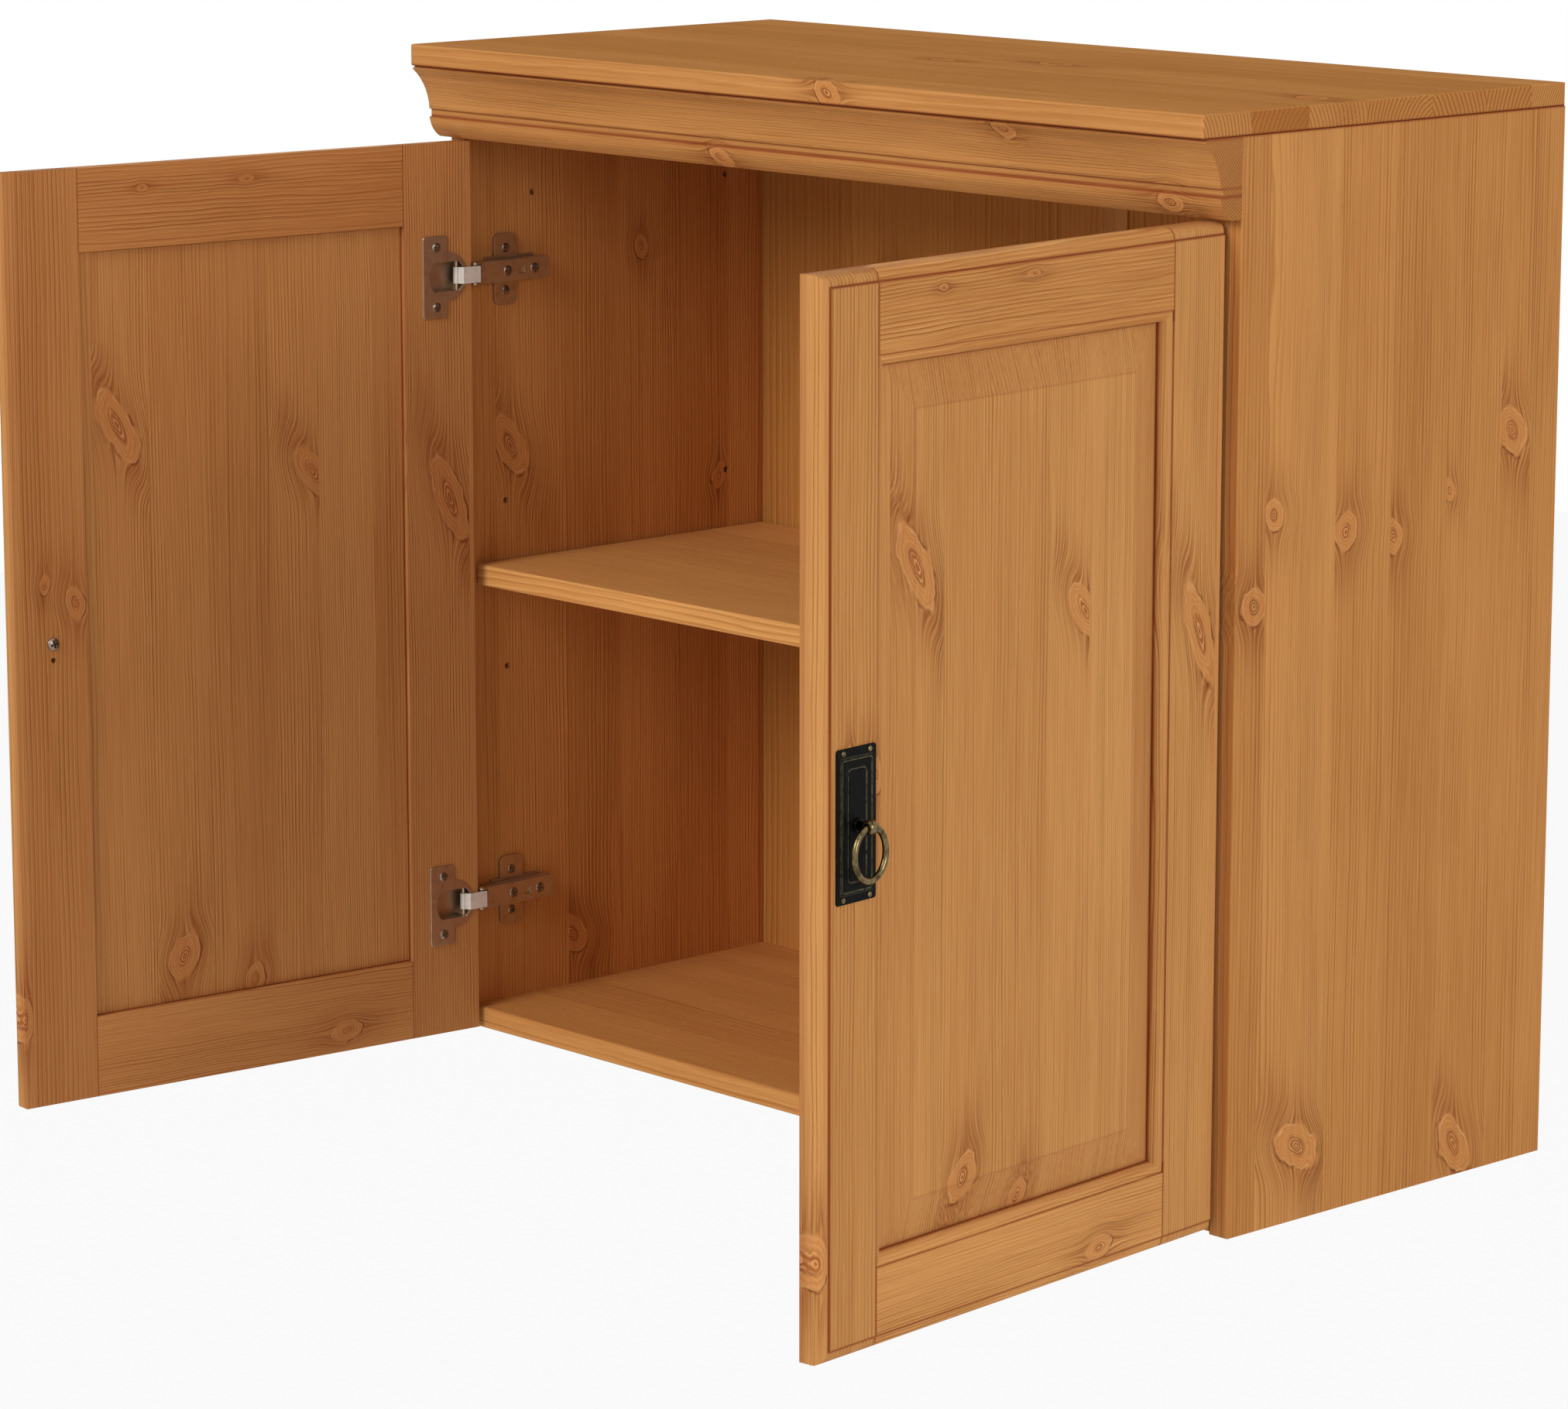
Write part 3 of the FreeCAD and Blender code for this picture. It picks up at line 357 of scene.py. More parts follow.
side_joints = (-298, -229, -173, -116, -60, -28)
dress("right_side_panel", pine_board(
    "right_side_pine", (1, 0, 2), face=392, seed=3.0, joints=side_joints, seams_and_shade=top_line,
    knots=((-290, -222, 11, 13, 0.1), (-218, -241, 13, 15, -0.1), (-170, -249, 11, 14, 0.1),
           (-113, -224, 7, 9, 0.2), (-48, -189, 17, 20, 0.3), (-308, -281, 14, 15, 0.1),
           (-257, -658, 22, 20, 0.5), (-93, -687, 16, 26, 0.4))))
dress("left_side_panel", pine_board(
    "left_side_pine", (1, 0, 2), face=-392, seed=13.0, joints=side_joints, seams_and_shade=top_line,
    early=(210, 146, 84), late=(174, 110, 54),
    knots=((-284, -261, 16, 28, 0.4), (-69, -307, 8, 12, -0.2), (-225, -652, 16, 18, 0.4),
           (-150, -120, 8, 11, 0.1))))

# Bottom panel and shelf
# Pine boards glued up with their grain across the cabinet. The bottom is dowelled between the
# sides, and the shelf rests loose on four steel pins.

flat_joints = (-330, -262, -205, -139, -84)
dress("bottom_panel", pine_board(
    "bottom_pine", (1, 2, 0), face=-700, seed=23.0, joints=flat_joints,
    early=(212, 150, 86), late=(178, 114, 56),
    knots=((-110, -120, 13, 19, 0.1), (-230, 160, 11, 16, -0.2))))
dress("shelf", pine_board(
    "shelf_pine", (1, 2, 0), face=-356, seed=33.0, joints=flat_joints,
    early=(228, 166, 98), late=(194, 129, 68),
    knots=((-180, 120, 12, 18, 0.2), (-110, 250, 9, 14, 0.0))))

# Back panel, joint strip and hanging rail
# Two thin pine-faced sheets slide in grooves and meet at a planted strip. Fine nails fix them to
# the bottom panel, and the rail behind them takes the two wall screws.

back_tones = {"early": (206, 146, 78), "late": (176, 112, 52)}
dress("back_panel_left", pine_board(
    "left_back_pine", (0, 1, 2), face=-24, seed=43.0, joints=(-290, -170, -60), pitch=5.0, **back_tones,
    knots=((-230, -160, 12, 16, 0.2), (-120, -520, 13, 18, -0.2))))
dress("back_panel_right", pine_board(
    "right_back_pine", (0, 1, 2), face=-24, seed=53.0, joints=(90, 200, 310), pitch=5.0, **back_tones,
    knots=((250, -300, 12, 16, 0.2), (140, -90, 11, 15, -0.2))))
dress("back_joint_strip", pine_board(
    "strip_pine", (0, 1, 2), face=-24, seed=63.0, early=(214, 160, 96), late=(186, 128, 68)))
dress("hanging_rail", pine_board(
    "rail_pine", (2, 1, 0), face=-10, seed=67.0, pitch=3.2,
    knots=((4, -140, 10, 16, 0.1), (-6, 210, 9, 15, -0.1))))

# Top board
# A solid pine board on top of the sides, standing forward over the doors, with every edge eased.
# Glued staves run across the cabinet, and their end grain shows at both ends.

dress("top_board", pine_board(
    "top_pine", (1, 2, 0), face=38, seed=73.0, joints=(-318, -262, -205, -139, -84, -36),
    pitch=3.0, pith=0.5, gloss=0.0, seams_and_shade=top_line, early=(207, 147, 86), late=(169, 108, 54),
    edge_knots=((0, 49, 11, 15, 0.3, -345),),
    knots=((-143, 53, 12, 18, 0.1), (-178, -26, 8, 13, 0.0), (-217, 362, 11, 17, 0.2))))

# Cornice moulding
# One length of pine run on a moulder: a cove, a sunk fillet and a bead. It is glued and dowelled
# under the overhang, and its ends are cut square and left showing their end grain.


def cornice_lines(tree, axes):
    """Stain pooled in the sunk fillet and under the top board."""
    cove_foot = calc(tree, "MULTIPLY", bell(tree, axes[2], -3.2, 0.9), 0.7)
    bead_head = bell(tree, axes[2], -8.4, 1.2)
    above = bell(tree, axes[2], 30.0, 1.6)
    darkening = calc(tree, "MAXIMUM", calc(tree, "MAXIMUM", cove_foot, bead_head), above)
    return calc(tree, "MULTIPLY", darkening, 0.85)


dress("cornice_moulding", pine_board(
    "cornice_pine", (2, 1, 0), face=-344, seed=83.0, pitch=2.4, seams_and_shade=cornice_lines,
    knots=((-17, -81, 8, 13, 0.2), (-15, 354, 8, 13, 0.1), (24, 214, 7, 12, 0.1))))

# Dowels
# Ribbed beech pegs, glued blind into the sides, the top and the bottom. They stay hidden once
# the carcass is closed.

dress("carcass_dowels", pine_board("dowel_beech", (1, 2, 0), seed=87.0, pitch=1.4,
                                   early=(214, 170, 122), late=(192, 146, 98)))

# Doors
# Mortised pine frames around a raised panel of glued staves. The frame has a rounded rim behind a
# sunk line and a moulded inner edge, and the stain has pooled red-brown in every line and joint.

door_wide, door_tall = 397.5, 680.0
frame_wide, moulded, rim_wide, bevel = 60.0, 52.5, 8.0, 29.0
door_open = 95.5
door_places = {"left": ((-0.3712, -0.3316, -0.706), -door_open, 1),
               "right": ((0.3712, -0.3316, -0.706), door_open, -1)}


def pooled_stain_and_painted_shade(tree, axes):
    """Red-brown lines where stain gathers: rim, moulded edge, panel joint and rail shoulders; a faint line at the
    field's edge and the panel's bevel a little darker; and painted shade over the back of the door.
    """
    proud = calc(tree, "MULTIPLY", axes[1], -1.0)
    front = rise(tree, proud, 9.0, 11.0)
    back = calc(tree, "LESS_THAN", proud, 1.0)
    free = calc(tree, "SUBTRACT", door_wide, axes[0])
    end = calc(tree, "MINIMUM", axes[2], calc(tree, "SUBTRACT", door_tall, axes[2]))
    side = calc(tree, "MINIMUM", axes[0], free)
    rim = calc(tree, "MULTIPLY", bell(tree, calc(tree, "MINIMUM", free, end), rim_wide, 0.8), front)
    inner = calc(tree, "MINIMUM", side, end)
    foot = calc(tree, "MAXIMUM", bell(tree, proud, 9.3, 1.4), bell(tree, proud, 4.0, 1.2))
    joint = calc(tree, "MULTIPLY", bell(tree, inner, frame_wide, 1.0), foot)
    soft = calc(tree, "MULTIPLY", calc(tree, "MULTIPLY", bell(tree, inner, frame_wide, 4.0), 0.2), foot)
    quirk = calc(tree, "MULTIPLY", calc(tree, "MULTIPLY", bell(tree, inner, moulded, 0.6), front), 0.6)
    on_rail = calc(tree, "LESS_THAN", end, frame_wide)
    shoulder = calc(tree, "MULTIPLY", bell(tree, side, moulded, 0.7), calc(tree, "MULTIPLY", on_rail, front))
    seam = calc(tree, "MULTIPLY", bell(tree, side, frame_wide, 0.6), calc(tree, "MULTIPLY", on_rail, back))
    on_panel = calc(tree, "GREATER_THAN", inner, frame_wide + 0.1)
    field_edge = frame_wide + bevel
    field = calc(tree, "MULTIPLY", calc(tree, "MULTIPLY", bell(tree, inner, field_edge, 0.8), 0.3), front)
    slope = calc(tree, "SUBTRACT", 1.0, rise(tree, inner, field_edge - 1.0, field_edge))
    slope = calc(tree, "MULTIPLY", calc(tree, "MULTIPLY", slope, on_panel), calc(tree, "MULTIPLY", front, 0.09))
    # Painted shade: the back face of the door darkened red-brown, as the shaded inside of an open door.
    total = calc(tree, "MULTIPLY", rise(tree, proud, 9.0, 2.0), 0.36)
    for line in (field, slope, rim, joint, soft, quirk, shoulder, seam):
        total = calc(tree, "MAXIMUM", total, line)
    return total


panel_knots = ((306, 492, 14, 34, -0.45), (140, 443, 14, 23, -0.55), (259, 93, 15, 19, 0.3),
               (198, 67, 10, 14, 0.1))
panel_joints = (87, 135, 177, 234, 281, 327)
door_tones = {"early": (208, 150, 90), "late": (170, 110, 57), "seams_and_shade": pooled_stain_and_painted_shade}
rail_tones = {"early": (217, 156, 93), "late": (165, 103, 51), "seams_and_shade": pooled_stain_and_painted_shade}
for hand, place in door_places.items():
    dress(hand + "_door_panel", pine_board(
        hand + "_panel_pine", (0, 1, 2), seed=90.0, joints=panel_joints, place=place, **door_tones,
        knots=panel_knots))
    dress(hand + "_door_hinge_stile", pine_board(
        hand + "_hinge_stile_pine", (0, 1, 2), seed=103.0, joints=(4,), place=place, **door_tones,
        knots=((21, 413, 14, 40, -0.35),)))
    dress(hand + "_door_free_stile", pine_board(
        hand + "_free_stile_pine", (0, 1, 2), seed=107.0, joints=(366, 391), place=place, **door_tones,
        knots=((347, 368, 9, 14, -0.2), (372, 383, 5, 9, 0.1), (397, 66, 8, 20, 0.0))))
    dress(hand + "_door_top_rail", pine_board(
        hand + "_top_rail_pine", (2, 1, 0), seed=113.0, pitch=2.5, wave=2.6, place=place, **rail_tones,
        knots=((663, 284, 3, 5, 0.0), (664, 196, 3, 8, 0.0))))
    dress(hand + "_door_bottom_rail", pine_board(
        hand + "_bottom_rail_pine", (2, 1, 0), seed=117.0, pitch=2.5, wave=2.6, place=place, **rail_tones,
        knots=((16, 120, 9, 16, 0.1),)))

# Concealed hinges
# Pressed and nickel-plated steel: a mounting plate and arm on the side, one flat link, and a cup
# sunk in the door. The plating is brushed, a little cloudy, and picks up the wood around it.


def plated(name, colour, dull, cloud, rough_low, rough_high, metal=1.0):
    """Plated sheet steel: fine brushing, cloudy patches and painted shade in the pressed corners and holes."""
    material = bpy.data.materials.new(name)
    material.use_nodes = True
    tree = material.node_tree
    coords = add(tree, "ShaderNodeTexCoord").outputs["Object"]
    brushed = speckle(tree, coords, (900.0, 900.0, 6000.0), 2.0)
    patch = speckle(tree, coords, (cloud, cloud, cloud), 3.0)
    shade = stain_over(tree, rise(tree, patch, 0.42, 0.72), tint(*colour), tint(*dull))
    # Painted shade: ambient occlusion darkens holes, hollows and pressed corners towards dark brown.
    hollow = add(tree, "ShaderNodeAmbientOcclusion", {"Distance": 0.004}, samples=8).outputs["AO"]
    hollow_shade = tint(28, 22, 18)
    shade = stain_over(tree, rise(tree, hollow, 0.62, 0.2), shade, hollow_shade)
    shader = tree.nodes["Principled BSDF"]
    feed(tree, shader.inputs["Base Color"], shade)
    shader.inputs["Metallic"].default_value = metal
    uneven = calc(tree, "ADD", calc(tree, "MULTIPLY", brushed, 0.6), calc(tree, "MULTIPLY", patch, 0.4))
    rough = add(tree, "ShaderNodeMapRange", {"Value": uneven, "From Min": 0.3, "From Max": 0.7,
                                             "To Min": rough_low, "To Max": rough_high}).outputs["Result"]
    feed(tree, shader.inputs["Roughness"], rough)
    round_edge = add(tree, "ShaderNodeBevel", {"Radius": 0.0004}, samples=4).outputs[0]
    bump = add(tree, "ShaderNodeBump", {"Strength": 0.12, "Distance": 0.0001, "Height": brushed,
                                        "Normal": round_edge})
    feed(tree, shader.inputs["Normal"], bump.outputs[0])
    return material


nickel = plated("brushed_nickel", (188, 164, 138), (176, 150, 124), 160.0, 0.26, 0.38, 0.85)
# Painted highlight: the link's nickel is a paler, barely metallic copy of the plating, so the link reads bright as
# if lit.
link_nickel_painted_bright = plated("nickel_painted_bright", (222, 212, 202), (208, 198, 188), 160.0, 0.4, 0.5, 0.25)
for hand in ("left", "right"):
    for level in ("upper", "lower"):
        for part in ("mount", "arm", "cup"):
            dress(f"{hand}_{level}_hinge_{part}", nickel)
        dress(f"{hand}_{level}_hinge_link", link_nickel_painted_bright)
    for pins in ("arm_pins", "cup_pins"):
        dress(f"{hand}_hinge_{pins}", nickel)

# Hinge and handle screws
# Domed steel screws with a cross recess, turned by hand, so each cross stands at its own angle.
# They hold the cups, the plates, the arms and, from inside, the handles.


def heads(node, facing):
    """The highest point of each screw or pin in a CAD piece, on its own axis, looking along facing."""
    work = bmesh.new()
    work.from_mesh(boards[node].data)
    one_micron = 1e-6
    bmesh.ops.remove_doubles(work, verts=work.verts, dist=one_micron)
    found, seen = [], set()
    for start in work.verts:
        if start in seen:
            continue
        solid, front = [], [start]
        seen.add(start)
        while front:
            vert = front.pop()
            solid.append(vert.co.copy())
            for edge in vert.link_edges:
                other = edge.other_vert(vert)
                if other not in seen:
                    seen.add(other)
                    front.append(other)
        top = max(point.dot(facing) for point in solid)
        low = min(point.dot(facing) for point in solid)
        crown_share = 0.12
        crown = [point for point in solid if point.dot(facing) > top - crown_share * (top - low)]
        flat = [point - facing * point.dot(facing) for point in crown]
        middle = Vector(((max(p[i] for p in flat) + min(p[i] for p in flat)) / 2 for i in range(3)))
        middle -= facing * middle.dot(facing)
        reach = max((point - middle).length for point in flat)
        found.append((middle + facing * top, reach, top - low))
    work.free()
    return found


def node_tree(name, takes):
    """An empty geometry tree that takes points and named sizes, with its two ends."""
    tree = bpy.data.node_groups.new(name, "GeometryNodeTree")
    tree.interface.new_socket("Points", in_out="INPUT", socket_type="NodeSocketGeometry")
    for label, kind in takes:
        tree.interface.new_socket(label, in_out="INPUT", socket_type="NodeSocket" + kind)
    tree.interface.new_socket("Pieces", in_out="OUTPUT", socket_type="NodeSocketGeometry")
    return tree, add(tree, "NodeGroupInput").outputs, add(tree, "NodeGroupOutput").inputs


def on_points(tree, takes, gives, shape):
    """Sets one shape on every point, faced and turned by the tree's inputs, and finishes it."""
    faced = add(tree, "FunctionNodeAlignRotationToVector", {"Vector": takes["Facing"]}, axis="Z").outputs[0]
    full_turn = 6.283
    chance = add(tree, "FunctionNodeRandomValue", {3: full_turn, "Seed": takes["Seed"]},
                 data_type="FLOAT").outputs[1]
    spun = add(tree, "FunctionNodeAxisAngleToRotation", {"Axis": (0, 0, 1), "Angle": chance}).outputs[0]
    turned = add(tree, "FunctionNodeRotateRotation", {0: faced, 1: spun}, rotation_space="LOCAL").outputs[0]
    placed = add(tree, "GeometryNodeInstanceOnPoints", {"Points": takes["Points"], "Instance": shape,
                                                        "Rotation": turned}).outputs[0]
    solid = add(tree, "GeometryNodeRealizeInstances", {0: placed}).outputs[0]
    feed(tree, gives["Pieces"], add(tree, "GeometryNodeSetMaterial",
                                    {"Geometry": solid, "Material": takes["Finish"]}).outputs[0])


def smooth_faces(tree, shape, sharp=0.6):
    """Smooth shading, broken at edges sharper than that angle."""
    soft = add(tree, "GeometryNodeSetShadeSmooth", {"Geometry": shape, "Shade Smooth": True}).outputs[0]
    angle = add(tree, "GeometryNodeInputMeshEdgeAngle").outputs["Unsigned Angle"]
    hard = add(tree, "FunctionNodeCompare", {0: angle, 1: sharp}, data_type="FLOAT",
               operation="GREATER_THAN").outputs[0]
    return add(tree, "GeometryNodeSetShadeSmooth", {"Geometry": soft, "Selection": hard, "Shade Smooth": False},
               domain="EDGE").outputs[0]


def size(tree, x, y, z):
    """Three sizes as one."""
    return add(tree, "ShaderNodeCombineXYZ", {0: x, 1: y, 2: z}).outputs[0]


def on_shank(tree, takes, head, sides):
    """A head joined to its round shank, both shaded smooth."""
    shank = add(tree, "GeometryNodeMeshCylinder", {"Vertices": sides, "Radius": takes["Shank Radius"],
                                                   "Depth": takes["Length"]}).outputs[0]
    drop = calc(tree, "MULTIPLY_ADD", takes["Length"], -0.5, calc(tree, "MULTIPLY", takes["Head Height"], -1.5))
    shank = add(tree, "GeometryNodeTransform", {
        "Geometry": shank, "Translation": size(tree, 0.0, 0.0, drop)}).outputs[0]
    whole = add(tree, "GeometryNodeJoinGeometry")
    for shape in (smooth_faces(tree, head), smooth_faces(tree, shank)):
        tree.links.new(shape, whole.inputs[0])
    return whole.outputs[0]


def cross_screw_tree():
    """A domed head, cross recess and shank. The head's top is at the point."""
    tree, takes, gives = node_tree("cross_screws", [
        ("Head Radius", "Float"), ("Head Height", "Float"), ("Recess Length", "Float"), ("Recess Width", "Float"),
        ("Recess Depth", "Float"), ("Shank Radius", "Float"), ("Length", "Float"), ("Facing", "Vector"),
        ("Seed", "Int"), ("Finish", "Material")])
    ball = add(tree, "GeometryNodeMeshUVSphere", {"Segments": 40, "Rings": 20, "Radius": 1.0}).outputs[0]
    sink = calc(tree, "MULTIPLY", takes["Head Height"], -1.0)
    dome = add(tree, "GeometryNodeTransform", {
        "Geometry": ball, "Translation": size(tree, 0.0, 0.0, sink),
        "Scale": size(tree, takes["Head Radius"], takes["Head Radius"], takes["Head Height"])}).outputs[0]
    deep = calc(tree, "MULTIPLY", takes["Recess Depth"], 2.0)
    cut = add(tree, "GeometryNodeMeshBoolean", operation="DIFFERENCE", solver="EXACT")
    feed(tree, cut.inputs["Mesh 1"], dome)
    for across, along in (("Recess Length", "Recess Width"), ("Recess Width", "Recess Length")):
        bar = add(tree, "GeometryNodeMeshCube", {"Size": size(tree, takes[across], takes[along], deep)}).outputs[0]
        tree.links.new(bar, cut.inputs["Mesh 2"])
    on_points(tree, takes, gives, on_shank(tree, takes, cut.outputs[0], 16))
    return tree


def set_pieces(name, tree, points, sizes, body, stands_for):
    """Runs a tree on its points, keeps the result as one plain mesh and hands it to the frame."""
    spots = bpy.data.meshes.new(name + "_spots")
    spots.from_pydata([tuple(point) for point in points], [], [])
    carrier = bpy.data.objects.new(name + "_carrier", spots)
    bpy.context.scene.collection.objects.link(carrier)
    maker = carrier.modifiers.new("maker", "NODES")
    maker.node_group = tree
    labels = {item.name: item.identifier for item in tree.interface.items_tree if item.in_out == "INPUT"}
    for label, value in sizes.items():
        maker[labels[label]] = value
    bpy.context.view_layer.update()
    made = carrier.evaluated_get(bpy.context.evaluated_depsgraph_get())
    mesh = bpy.data.meshes.new_from_object(made)
    piece = bpy.data.objects.new(name, mesh)
    bpy.context.scene.collection.objects.link(piece)
    carrier.modifiers.remove(maker)
    bpy.data.objects.remove(carrier)
    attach(piece, body)
    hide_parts(stands_for)
    return piece


screw_steel = plated("screw_steel", (150, 138, 124), (104, 92, 80), 500.0, 0.24, 0.42)
screw_tree = cross_screw_tree()
past_square = math.radians(door_open - 90)
door_inward = {"left": Vector((math.cos(past_square), -math.sin(past_square), 0)),
               "right": Vector((-math.cos(past_square), -math.sin(past_square), 0))}
side_inward = {"left": Vector((1, 0, 0)), "right": Vector((-1, 0, 0))}
for hand in ("left", "right"):
    for kind, facing, body, slot, head, seed in (
            ("hinge_mount_screws", side_inward[hand], "carcass", "nickel_steel", 1.0, 3),
            ("hinge_arm_screws", side_inward[hand], "carcass", "nickel_steel", 1.0, 5),
            ("hinge_cup_screws", door_inward[hand], hand + "_door", "nickel_steel", 1.0, 7),
            ("handle_screw", door_inward[hand], hand + "_door", "zinc_steel", 2.0, 9)):
        node = f"{hand}_{kind}"
        found = heads(node, facing)
        reach = max(item[1] for item in found)
        length = max(item[2] for item in found)
        set_pieces(node + "_shown", screw_tree, [item[0] for item in found], {
            "Head Radius": reach, "Head Height": head * 0.001, "Recess Length": reach * 1.25,
            "Recess Width": reach * 0.26, "Recess Depth": head * 0.00075, "Shank Radius": reach * 0.45,
            "Length": max(length - 0.0015 * head, 0.001), "Facing": tuple(facing), "Seed": seed,
            "Finish": screw_steel}, body, node)

# Shelf pins and back-panel nails
# Plain zinc-plated steel pins carry the shelf from the drilled rows, and flat-headed nails
# fix the back panel to the bottom panel.

zinc = plated("zinc_plate", (176, 174, 170), (138, 136, 134), 300.0, 0.28, 0.46)
for node in ("shelf_pins", "back_panel_nails"):
    dress(node, zinc)

# Ring pulls
# A pressed black plate with a raised middle and two engraved frames, riveted at its corners, and
# a brass ring hung from a ribbed eye. Handling has rubbed the black off the lines and ridges.

handle_u, handle_w = 366.3, 340.0


def rounded_frame(tree, across, up, half_wide, half_tall, corner):
    """How far a point lies outside a frame with rounded corners."""
    x = calc(tree, "SUBTRACT", calc(tree, "ABSOLUTE", across), half_wide - corner)
    y = calc(tree, "SUBTRACT", calc(tree, "ABSOLUTE", up), half_tall - corner)
    x_out, y_out = calc(tree, "MAXIMUM", x, 0.0), calc(tree, "MAXIMUM", y, 0.0)
    round_off = calc(tree, "SQRT", calc(tree, "ADD", calc(tree, "MULTIPLY", x_out, x_out),
                                        calc(tree, "MULTIPLY", y_out, y_out)))
    inside = calc(tree, "MINIMUM", calc(tree, "MAXIMUM", x, y), 0.0)
    return calc(tree, "SUBTRACT", calc(tree, "ADD", round_off, inside), corner)


def plate_black(name, place):
    """Blackened steel, rubbed to bronze on the frame lines and in long upright streaks."""
    material = bpy.data.materials.new(name)
    material.use_nodes = True
    tree = material.node_tree
    axes = local_axes(tree, place)
    across = calc(tree, "SUBTRACT", axes[0], handle_u)
    up = calc(tree, "SUBTRACT", axes[2], handle_w)
    at = size(tree, across, axes[1], up)
    rub = speckle(tree, at, (1.3, 1.3, 0.07), 3.0)
    fleck = speckle(tree, at, (0.5, 0.5, 0.35), 3.0)
    lines = 0.0
    for half_wide, half_tall, corner, strength in ((15.2, 42.95, 1.2, 0.35), (13.6, 41.35, 1.5, 0.9),
                                                   (8.5, 35.55, 3.0, 0.9)):
        outside = rounded_frame(tree, across, up, half_wide, half_tall, corner)
        edge = calc(tree, "MULTIPLY", bell(tree, outside, 0.0, 0.42), strength)
        lines = calc(tree, "MAXIMUM", lines, edge)
    worn = calc(tree, "MULTIPLY", lines, rise(tree, fleck, 0.25, 0.6))
    streak = calc(tree, "MULTIPLY", rise(tree, rub, 0.6, 0.8), 0.3)
    bare = calc(tree, "MAXIMUM", worn, streak)
    black, bronze = tint(10, 11, 10), tint(112, 104, 78)
    colour = stain_over(tree, bare, black, bronze)
    shader = tree.nodes["Principled BSDF"]
    feed(tree, shader.inputs["Base Color"], colour)
    feed(tree, shader.inputs["Metallic"], calc(tree, "MULTIPLY", bare, 0.6))
    shader.inputs["Specular IOR Level"].default_value = 0.05
    feed(tree, shader.inputs["Roughness"], calc(tree, "MULTIPLY_ADD", fleck, 0.3, 0.3))
    round_edge = add(tree, "ShaderNodeBevel", {"Radius": 0.0005}, samples=4).outputs[0]
    bump = add(tree, "ShaderNodeBump", {"Strength": 0.25, "Distance": 0.0003, "Height": rub,
                                        "Normal": round_edge})
    feed(tree, shader.inputs["Normal"], bump.outputs[0])
    return material


def old_brass(name, place, black_below=-100.0):
    """Antiqued brass: bright and brown in soft patches, darker in fine spots, and black near the plate."""
    material = bpy.data.materials.new(name)
    material.use_nodes = True
    tree = material.node_tree
    axes = local_axes(tree, place)
    at = size(tree, axes[0], axes[1], axes[2])
    patina = speckle(tree, at, (0.22, 0.22, 0.16), 3.0)
    rub = speckle(tree, at, (1.6, 1.6, 1.6), 2.0)
    bright, brown, dark, black_paint = tint(122, 106, 72), tint(72, 62, 42), tint(48, 42, 28), tint(16, 16, 15)
    colour = stain_over(tree, rise(tree, patina, 0.4, 0.68), bright, brown)
    colour = stain_over(tree, calc(tree, "MULTIPLY", rise(tree, rub, 0.55, 0.75), 0.4), colour, dark)
    proud = calc(tree, "MULTIPLY", axes[1], -1.0)
    black = calc(tree, "SUBTRACT", 1.0, rise(tree, proud, black_below - 0.4, black_below + 0.4))
    colour = stain_over(tree, black, colour, black_paint)
    shader = tree.nodes["Principled BSDF"]
    feed(tree, shader.inputs["Base Color"], colour)
    shader.inputs["Metallic"].default_value = 1.0
    feed(tree, shader.inputs["Roughness"], calc(tree, "MULTIPLY_ADD", patina, 0.25, 0.1))
    bump = add(tree, "ShaderNodeBump", {"Strength": 0.15, "Distance": 0.0002, "Height": rub})
    feed(tree, shader.inputs["Normal"], bump.outputs[0])
    return material


def rivet_tree():
    """A low domed rivet head. The head's top is at the point."""
    tree, takes, gives = node_tree("plate_rivets", [
        ("Head Radius", "Float"), ("Head Height", "Float"), ("Shank Radius", "Float"), ("Length", "Float"),
        ("Facing", "Vector"), ("Seed", "Int"), ("Finish", "Material")])
    ball = add(tree, "GeometryNodeMeshUVSphere", {"Segments": 32, "Rings": 16, "Radius": 1.0}).outputs[0]
    dome = add(tree, "GeometryNodeTransform", {
        "Geometry": ball, "Translation": size(tree, 0.0, 0.0, calc(tree, "MULTIPLY", takes["Head Height"], -1.0)),
        "Scale": size(tree, takes["Head Radius"], takes["Head Radius"], takes["Head Height"])}).outputs[0]
    on_points(tree, takes, gives, on_shank(tree, takes, dome, 12))
    return tree


rivets = rivet_tree()
for hand, place in door_places.items():
    dress(hand + "_handle_plate", plate_black(hand + "_plate_black", place))
    dress(hand + "_handle_post", old_brass(hand + "_post_brass", place, 26.0))
    dress(hand + "_handle_ring", old_brass(hand + "_ring_brass", place))
    node = hand + "_handle_rivets"
    found = heads(node, -door_inward[hand])
    set_pieces(node + "_shown", rivets, [item[0] for item in found], {
        "Head Radius": 0.0019, "Head Height": 0.0009, "Shank Radius": 0.0008, "Length": 0.0075,
        "Facing": tuple(-door_inward[hand]), "Seed": 11, "Finish": old_brass(hand + "_rivet_brass", place)},
        hand + "_door", node)

# Room
# The cabinet hangs above a plain pale floor. One broad soft lamp stands at its right, another stands
# in front and above, and the surroundings are white.

bpy.context.scene.view_settings.view_transform = "Standard"


def plain_sight(tree):
    """1 where a ray shows the surroundings, straight or in metal and glass, and 0 where it lights."""
    path = add(tree, "ShaderNodeLightPath").outputs
    shown = calc(tree, "MAXIMUM", path["Is Glossy Ray"], path["Is Transmission Ray"])
    return calc(tree, "MAXIMUM", path["Is Camera Ray"], shown)


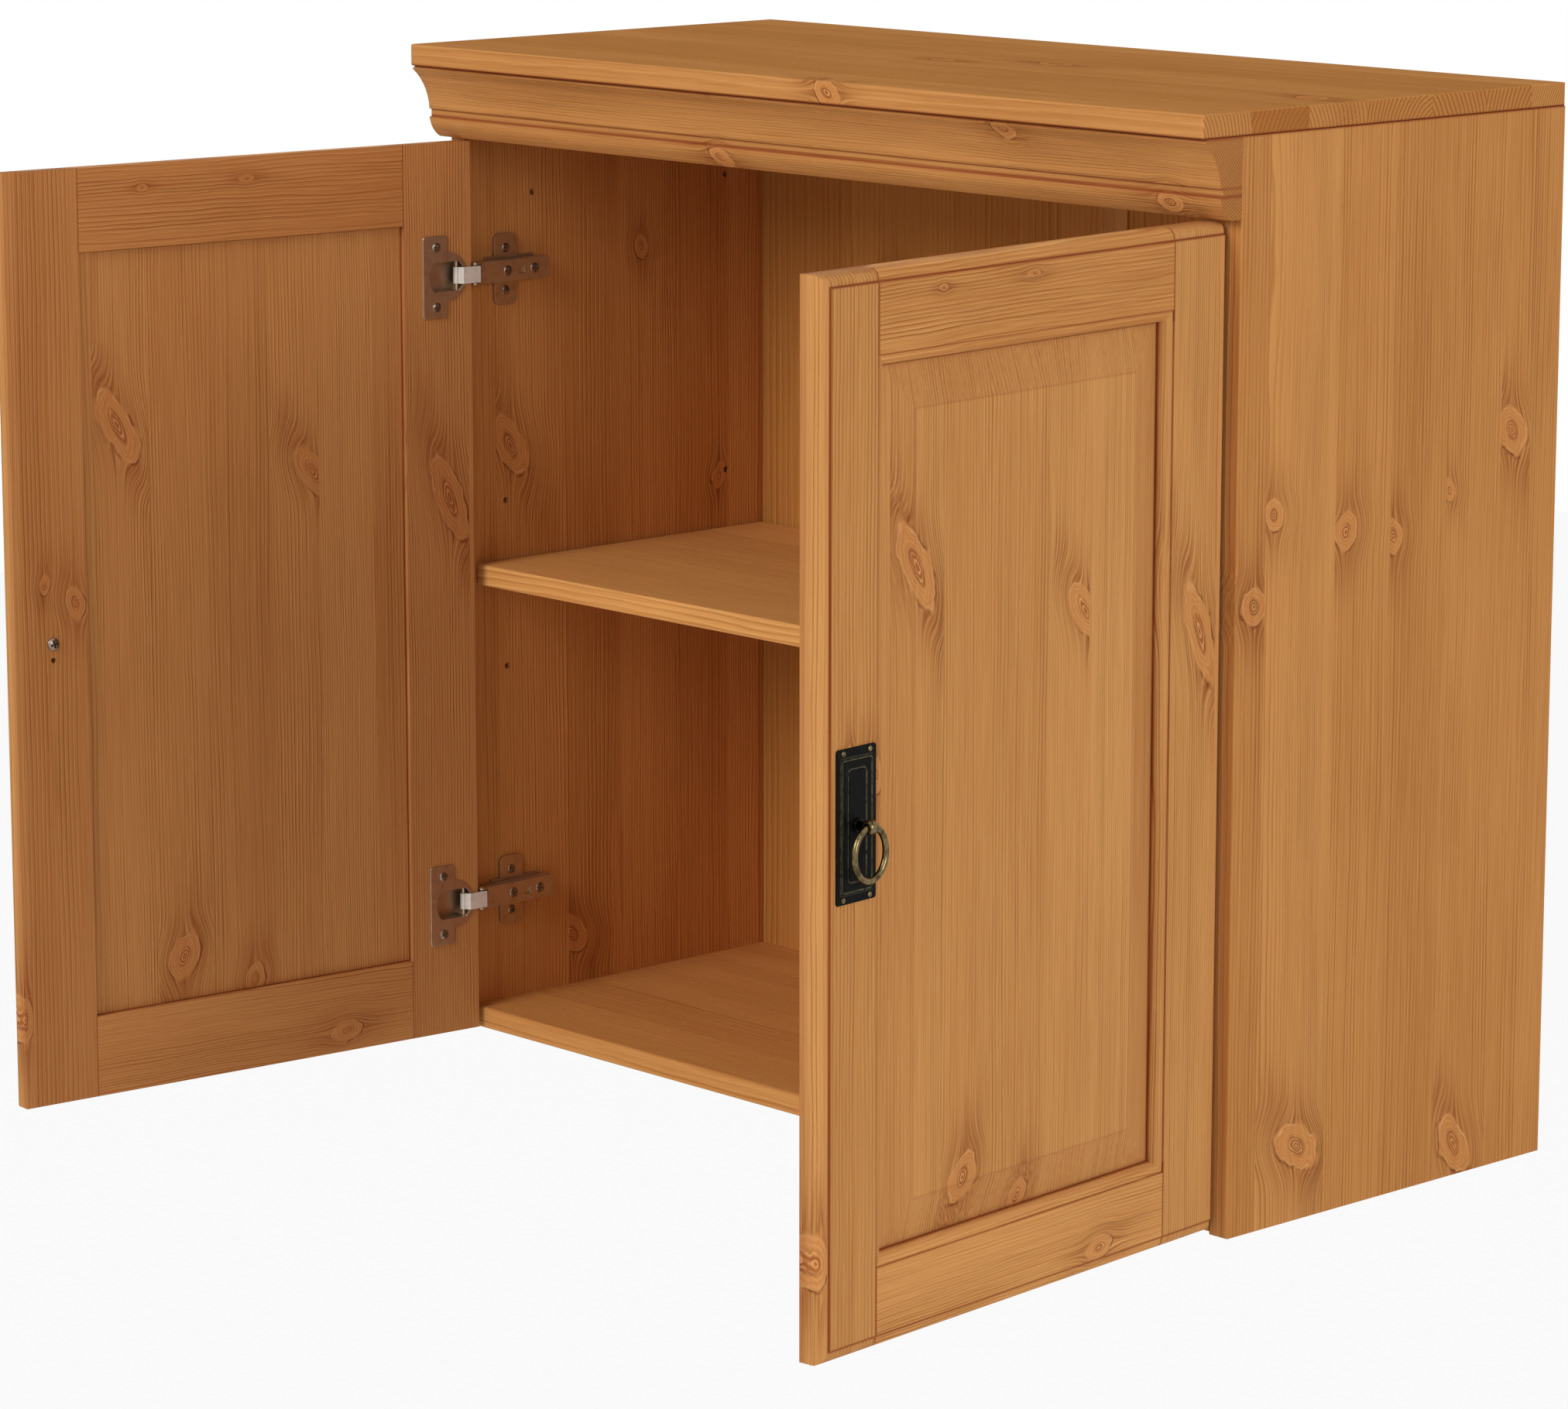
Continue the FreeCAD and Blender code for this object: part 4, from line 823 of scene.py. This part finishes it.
floor_half, floor_level = 9, -2.1
floor_mesh = bpy.data.meshes.new("pale_floor")
floor_mesh.from_pydata([(x * floor_half, y * floor_half, floor_level)
                        for x, y in ((-1, -1), (1, -1), (1, 1), (-1, 1))], [], [(0, 1, 2, 3)])
floor = bpy.data.objects.new("pale_floor", floor_mesh)
bpy.context.scene.collection.objects.link(floor)
paint = bpy.data.materials.new("floor_paint")
paint.use_nodes = True
tree = paint.node_tree
shader = tree.nodes["Principled BSDF"]
shader.inputs["Base Color"].default_value = (0.86, 0.86, 0.86, 1.0)
shader.inputs["Roughness"].default_value = 0.9
seen = plain_sight(tree)
white = add(tree, "ShaderNodeEmission", {"Color": (1, 1, 1, 1), "Strength": 1.0}).outputs[0]
mixed = add(tree, "ShaderNodeMixShader", {0: calc(tree, "MULTIPLY", seen, 0.9), 1: shader.outputs[0],
                                          2: white}).outputs[0]
clear = add(tree, "ShaderNodeBsdfTransparent").outputs[0]
under = add(tree, "ShaderNodeNewGeometry").outputs["Backfacing"]
sided = add(tree, "ShaderNodeMixShader", {0: under, 1: mixed, 2: clear}).outputs[0]
tree.links.new(sided, tree.nodes["Material Output"].inputs["Surface"])
floor_mesh.materials.append(paint)

sky = bpy.data.worlds.new("white_surroundings")
sky.use_nodes = True
tree = sky.node_tree
soft = tree.nodes["Background"]
soft.inputs["Color"].default_value = (1.0, 0.99, 0.97, 1.0)
soft.inputs["Strength"].default_value = 0.5
shown = add(tree, "ShaderNodeBackground", {"Color": (1, 1, 1, 1), "Strength": 1.0}).outputs[0]
seen = plain_sight(tree)
both = add(tree, "ShaderNodeMixShader", {0: seen, 1: soft.outputs[0], 2: shown}).outputs[0]
tree.links.new(both, tree.nodes["World Output"].inputs["Surface"])
bpy.context.scene.world = sky

middle = Vector((0.0, -0.25, -0.33))
for name, spot, wide, power in (("lamp_right", (4.05, -0.9, 0.6), 2.0, 60.0),
                                ("lamp_front", (0.1, -4.0, 1.8), 2.2, 90.0)):
    lamp = bpy.data.lights.new(name, "AREA")
    lamp.shape = "DISK"
    lamp.size = wide
    lamp.energy = power
    lamp_piece = bpy.data.objects.new(name, lamp)
    lamp_piece.location = spot
    lamp_piece.rotation_euler = (middle - Vector(spot)).to_track_quat("-Z", "Y").to_euler()
    bpy.context.scene.collection.objects.link(lamp_piece)

tilt_down, heading = 11.1104, 46.9619
lens = bpy.data.cameras.new("photo_camera")
lens.sensor_width = 36.0
lens.lens = 129.94
lens.clip_end = 100.0
camera = bpy.data.objects.new("photo_camera", lens)
camera.location = (2.870644, -3.038516, 0.374185)
camera.rotation_euler = (math.radians(90 - tilt_down), 0.0, math.radians(heading))
bpy.context.scene.collection.objects.link(camera)
bpy.context.scene.camera = camera
